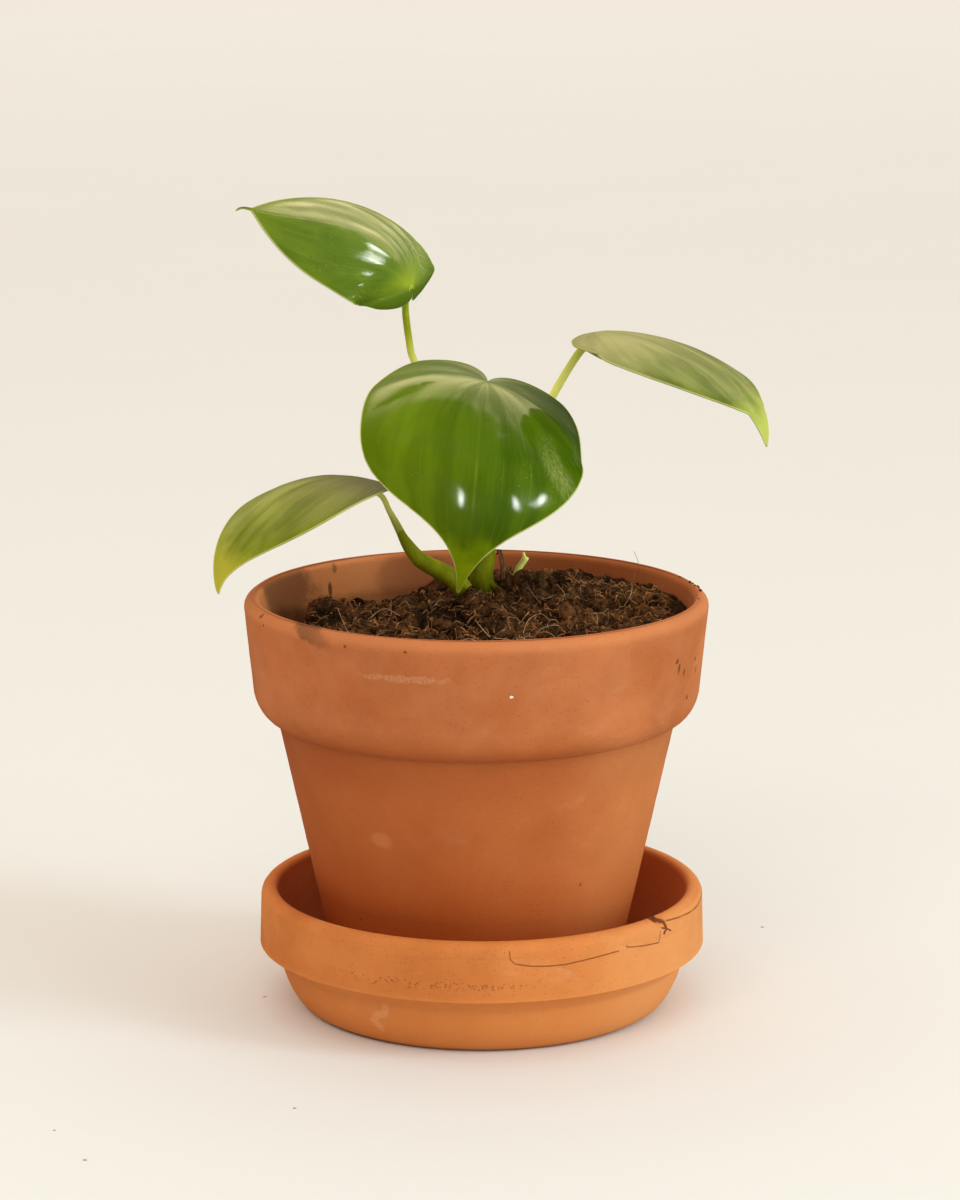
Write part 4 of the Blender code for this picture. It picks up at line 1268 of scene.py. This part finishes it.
def leaf_finish(name):
    tone = LEAF_TONES[name]
    finish = Finish(name, tone.specular)
    finish.shader["Coat Roughness"].default_value = tone.coat_rough
    x, _, z = finish.split(finish.place)
    across, along = finish.attribute("across"), finish.attribute("along")
    from_edge, under = finish.attribute("from_edge"), finish.attribute("under")
    broad, blotch, fine = finish.grain(20, 2), finish.grain(7, 3, 0.55), finish.grain(0.9, 3, 0.6)
    veined = {0: across * 10, 1: along * 2.4 + broad, 2: LOOKS[name].seed}
    drawn = finish.add("CombineXYZ", None, veined)
    stripes = finish.grain(1, 2, 0.5, drawn).ramp(0.38, 0.62)
    phase = across / VEIN_SPACING + (blotch - 0.5) * 0.12
    inner = along.ramp(0.99, 0.86) * along.ramp(0.02, 0.14)
    here = 0.2 + broad.ramp(0.45, 0.62) * 0.8
    veins = phase.math("PINGPONG", phase, 0.5).ramp(0.05, 0.01) * inner * here
    small = phase.math("PINGPONG", phase * 5 + blotch * 1.2, 0.5).ramp(0.30, 0.05) * inner
    midrib = across.ramp(0.009, 0.003) * inner * here
    # Near the base: painted sheen on the right leaf and painted shade on the lower leaf; the coat is
    # thinned there.
    base = (along + (broad - 0.5) * 0.2).ramp(0.52, 0.10) * tone.base_share
    margin = from_edge.ramp(0.60, 0.20)
    light = blotch.ramp(0.3, 0.7) * 0.2 + broad.ramp(0.3, 0.7) * 0.25 + stripes * 0.55
    finish.ground(light, tone.deep, tone.bright)
    finish.lay(x.ramp(4, -26) * (0.75 + stripes * 0.4) * tone.lit, SUNLIT)
    finish.lay(base, tone.base)
    finish.lay(small * 0.10, shade(tone.bright, 1.4))
    finish.lay(fine * 0.15, shade(tone.deep, 0.7))
    finish.lay(veins * tone.vein, PALE_VEIN)
    finish.lay(midrib * tone.vein * 1.2, PALE_VEIN)
    finish.lay(along.ramp(0.16, 0.0) * across.ramp(0.6, 0.2) * tone.base_glow, (0.32, 0.42, 0.02))
    finish.lay((along + (blotch - 0.5) * 0.2).ramp(0.70, 0.93) * tone.tip_glow, tone.tip)
    burnt = along.ramp(0.982, 0.997).most(finish.spot(BURNT_TIP, 1.3, 0.8, fine))
    finish.lay(burnt * 0.75, (0.20, 0.12, 0.05))
    finish.lay(margin * tone.edge, PALE_MARGIN)
    finish.lay(finish.cells(6.5).ramp(0.05, 0.03) * 0.6, (0.06, 0.045, 0.015))
    dust = finish.cells(1.3).ramp(0.13, 0.05) * finish.grain(8, 2).ramp(0.56, 0.68) * (1 - under)
    finish.lay(dust * 0.5, (0.55, 0.58, 0.38))
    # Painted reflection: a pale, fibrous streak on the front leaf.
    if name == "leaf_front":
        fibres = finish.streaks((1.3, 1.3, 0.12)).ramp(0.25, 0.75)
        painted_streak = line_mask(x, z, PAINTED_STREAK, 3.0, blotch) * fibres * (1 - under)
        finish.lay(painted_streak * z.ramp(168, 156) * 0.55, (0.30, 0.34, 0.10))
    below = finish.mix(small * 0.25 + veins * 0.5, (0.13, 0.21, 0.03), (0.26, 0.34, 0.07))
    finish.lay(under * (1 - margin), below)
    roughness = 0.40 + fine * 0.08 + blotch * 0.06 + under * 0.2 + margin * 0.1
    coat = (1 - under) * from_edge.ramp(0.3, 4.0) * (1 - veins * 0.4) * (0.45 + stripes * 0.55)
    crinkle = finish.grain(2.4, 3, 0.6, twist=0.8) * tone.crinkle
    height = fine * 0.25 + crinkle - small * 0.15 - veins * 0.35
    return finish.paint(roughness, height, 0.06, coat * (1 - base) * tone.coat)


for name in LEAVES:
    blade_piece(name, leaf_finish(name))

# %% [markdown]
# The stems are smooth and fleshy, with faint lengthwise streaks, a pale bloom and
# small dark flecks, and each has a swollen ring where a leaf once sat. A petiole
# runs right up to its blade here, where the plain solid had to stop short.

# %% Stem routes
MAIN_STEM = (
    (1.6, 12.0, 104.0, 2.7), (1.5, 12.0, 112.0, 2.8), (1.0, 12.0, 116.5, 2.7),
    (-0.2, 12.0, 120.8, 3.5), (0.6, 12.3, 126.0, 3.2), (1.4, 12.8, 133.0, 2.7),
    (1.0, 13.6, 142.0, 2.6), (-0.6, 14.4, 149.5, 2.1),
)
AERIAL_ROOT = (
    (-0.2, 11.8, 120.6, 1.3), (1.4, 11.0, 119.4, 1.15), (3.0, 10.4, 117.6, 1.0),
    (4.6, 9.8, 116.8, 0.7), (6.0, 9.2, 116.4, 0.3),
)
SIDE_SHOOT = (
    (-3.0, 7.4, 108.0, 2.4), (-4.0, 7.0, 114.5, 2.7), (-6.4, 6.3, 118.8, 2.75),
    (-9.2, 5.6, 121.2, 2.65), (-13.0, 4.8, 123.6, 2.45), (-16.8, 4.0, 126.0, 2.25),
    (-19.4, 3.25, 128.7, 1.95), (-21.0, 2.65, 131.2, 1.62), (-22.1, 2.15, 133.2, 1.34),
    (-23.0, 1.65, 135.2, 1.02),
)
CUT_PETIOLE = (
    (8.8, 12.8, 108.0, 0.9), (9.1, 12.5, 117.0, 0.9), (9.9, 12.3, 121.1, 0.85), (12.5, 12.0, 125.5, 0.95),
)
CUT_SPLINTER = ((11.2, 12.1, 123.4, 0.5), (12.0, 12.6, 125.0, 0.55), (11.7, 13.2, 126.6, 0.35))
PETIOLES = {  # for each leaf, the radius at the blade and the route up to there
    "front": (1.0, (
        (1.4, 11.6, 134.0, 1.6), (1.9, 8.8, 138.6, 1.5), (2.5, 7.0, 142.0, 1.4),
        (3.0, 4.6, 150.5, 1.25), (2.4, 1.4, 163.0, 1.15), (1.1, -1.6, 173.0, 1.05),
    )),
    "upper": (0.95, (
        (-0.4, 14.3, 148.6, 2.0), (-1.1, 14.7, 150.4, 1.8), (-5.0, 17.6, 156.5, 1.35),
        (-12.8, 21.4, 167.5, 1.2), (-19.2, 22.4, 180.0, 1.05), (-20.6, 21.6, 186.8, 1.0),
        (-21.3, 19.8, 192.9, 1.0), (-21.4, 17.9, 197.0, 0.95),
    )),
    "right": (1.0, (
        (2.0, 13.6, 138.5, 1.6), (4.9, 13.7, 142.5, 1.5), (8.2, 15.0, 147.4, 1.4),
        (13.2, 17.2, 158.0, 1.25), (19.3, 17.4, 169.5, 1.2), (26.6, 13.4, 182.6, 1.1),
        (31.0, 9.0, 187.6, 1.05),
    )),
    "lower": (0.8, (
        (-20.6, 2.85, 130.0, 0.9), (-22.0, 2.25, 133.0, 1.2), (-23.6, 1.4, 136.5, 1.1),
        (-25.7, 0.2, 140.8, 0.85), (-27.6, -0.8, 145.0, 0.8),
    )),
}

# %% Stems and stalks
StalkTone = namedtuple("StalkTone", "deep bright foot foot_from foot_to pale low")
STALK_TONES = {
    "stem_green": StalkTone(
        (0.15, 0.165, 0.0015), (0.29, 0.31, 0.004), (0.15, 0.14, 0.006), 119, 109,
        (0.42, 0.40, 0.06), 0.0,
    ),
    "petiole_green": StalkTone(
        (0.26, 0.31, 0.008), (0.42, 0.47, 0.020), (0.24, 0.25, 0.004), 137, 130,
        (0.62, 0.62, 0.14), 0.95,
    ),
}
STALK_PAINTED_LIGHT = (0.96, 0.95, 0.26)
SHOOT_MARKS = ((-20.0, 0.6, 133.4), (-18.9, 1.0, 131.8), (-20.7, 0.8, 134.9))


def stalk_finish(name):
    tone = STALK_TONES[name]
    finish = Finish(name, 0.04)
    x, _, z = finish.split(finish.place)
    streaks = finish.streaks((1.8, 1.8, 0.12), twist=0.3)
    cloud, fine = finish.grain(7, 3), finish.grain(0.6, 2)
    finish.ground(cloud.ramp(0.3, 0.7) * 0.7 + streaks * 0.2, tone.deep, tone.bright)
    finish.lay(streaks.ramp(0.52, 0.75) * 0.35, tone.pale)
    # Painted light: the petioles are paler below 190 mm, where the leaves above shade them.
    finish.lay(z.ramp(190, 172) * tone.low, STALK_PAINTED_LIGHT)
    low = (z + (cloud - 0.5) * 6).ramp(tone.foot_from, tone.foot_to) * x.ramp(7, 4)
    finish.lay(low * 0.85, tone.foot)
    shoot_end = x.ramp(-15, -20) * z.ramp(125, 133) * z.ramp(142, 136)
    finish.lay(shoot_end * 0.7, (0.27, 0.28, 0.008))
    finish.lay(finish.cells(2.6).ramp(0.11, 0.06) * 0.5, (0.10, 0.075, 0.02))
    for place in SHOOT_MARKS:
        finish.lay(finish.spot(place, 0.55, 0.5, fine) * 0.8, (0.07, 0.045, 0.015))
    return finish.paint(0.45 + fine * 0.2, streaks + fine * 0.3, 0.12)


STALK_FINISHES = {name: stalk_finish(name) for name in STALK_TONES}


def stem_piece(name, slot, node, depth, seed, *parts):
    """Tubes in one mesh, made a little uneven. A part is a route, its samples and its sides."""
    work = bmesh.new()
    for route, samples, sides in parts:
        tube(work, smooth_route(route, samples), sides)
    bmesh.ops.recalc_face_normals(work, faces=work.faces)
    for vert in work.verts:
        vert.co += vert.normal * depth * wander((vert.co.x, vert.co.y, vert.co.z * 0.5), 2.2, seed)
    return finished(work, name, STALK_FINISHES[slot], slot, node)


def add_petioles():
    for seed, (key, (radius, route)) in enumerate(PETIOLES.items()):
        leaf = LEAVES["leaf_" + key]
        up = Midrib(leaf).at(0)[2]
        top, below = Vector(leaf.base) + up * 0.1, Vector(leaf.base) - up * 2.2
        route = (*route, (*below, radius * 1.05), (*top, radius * 1.2))
        part = (route, 7, 20)
        stalk = stem_piece("stalk_" + key, "petiole_green", "petiole_" + key, 0.07, seed + 4.4, part)
        stalk.visible_glossy = False  # else it draws a dark line on the leaf in front of it


climbing = ((MAIN_STEM, 7, 32), (AERIAL_ROOT, 7, 16))
stem_piece("climbing_stem", "stem_green", "main_stem", 0.22, 1.1, *climbing)
stem_piece("curved_shoot", "stem_green", "side_shoot", 0.18, 2.2, (SIDE_SHOOT, 7, 32))
cut = ((CUT_PETIOLE, 6, 16), (CUT_SPLINTER, 5, 10))
stem_piece("cut_stalk", "petiole_green", "cut_petiole", 0.15, 3.3, *cut)
add_petioles()

# %% [markdown]
# The dried sheath is what is left of an old leaf's cover: a papery strip beside
# the stem's foot, split and curled. It is a small grid bent into a gutter, and a
# thin thickness is added at the end.

# %% Dried sheath
SHEATH_FOOT, SHEATH_TIP = Vector((6.4, 12.8, 119.0)), Vector((5.2, 13.2, 127.4))
SHEATH_WIDTH, SHEATH_THICKNESS, SHEATH_BOW = 3.2, 0.3, 0.8


def sheath_finish():
    finish = Finish("dried_brown", 0.15)
    fibres = finish.streaks((2.2, 2.2, 0.25))
    finish.ground(fibres.ramp(0.35, 0.65), (0.085, 0.030, 0.014), (0.26, 0.115, 0.055))
    finish.lay(finish.grain(3, 3).ramp(0.5, 0.8) * 0.5, (0.10, 0.045, 0.02))
    return finish.paint(0.75 + fibres * 0.15, fibres, 0.2)


def sheath_piece():
    work = bmesh.new()
    bmesh.ops.create_grid(work, x_segments=16, y_segments=30, size=0.5)
    for vert in work.verts:
        share = vert.co.y + 0.5
        ragged = 1 + 0.35 * wander((vert.co.x * 5, 0, 0), 0.7, 2)
        height = share * (ragged if share > 0.5 else 1)
        across = vert.co.x * SHEATH_WIDTH * (1 - 0.7 * share)
        cupped = 0.35 * SHEATH_WIDTH * (2 * vert.co.x) ** 2
        bow = Vector((SHEATH_BOW * math.sin(math.pi * share), 0, 0))
        crumple = 0.35 * wander((across, share * 9, 1), 1.6, 5)
        centre = SHEATH_FOOT.lerp(SHEATH_TIP, min(height, 1.0)) + bow
        vert.co = centre + Vector((-cupped + crumple, across, 0))
    bmesh.ops.recalc_face_normals(work, faces=work.faces)
    bmesh.ops.solidify(work, geom=work.faces[:], thickness=SHEATH_THICKNESS)
    finished(work, "papery_sheath", sheath_finish(), "dried_brown", "dried_sheath")


sheath_piece()
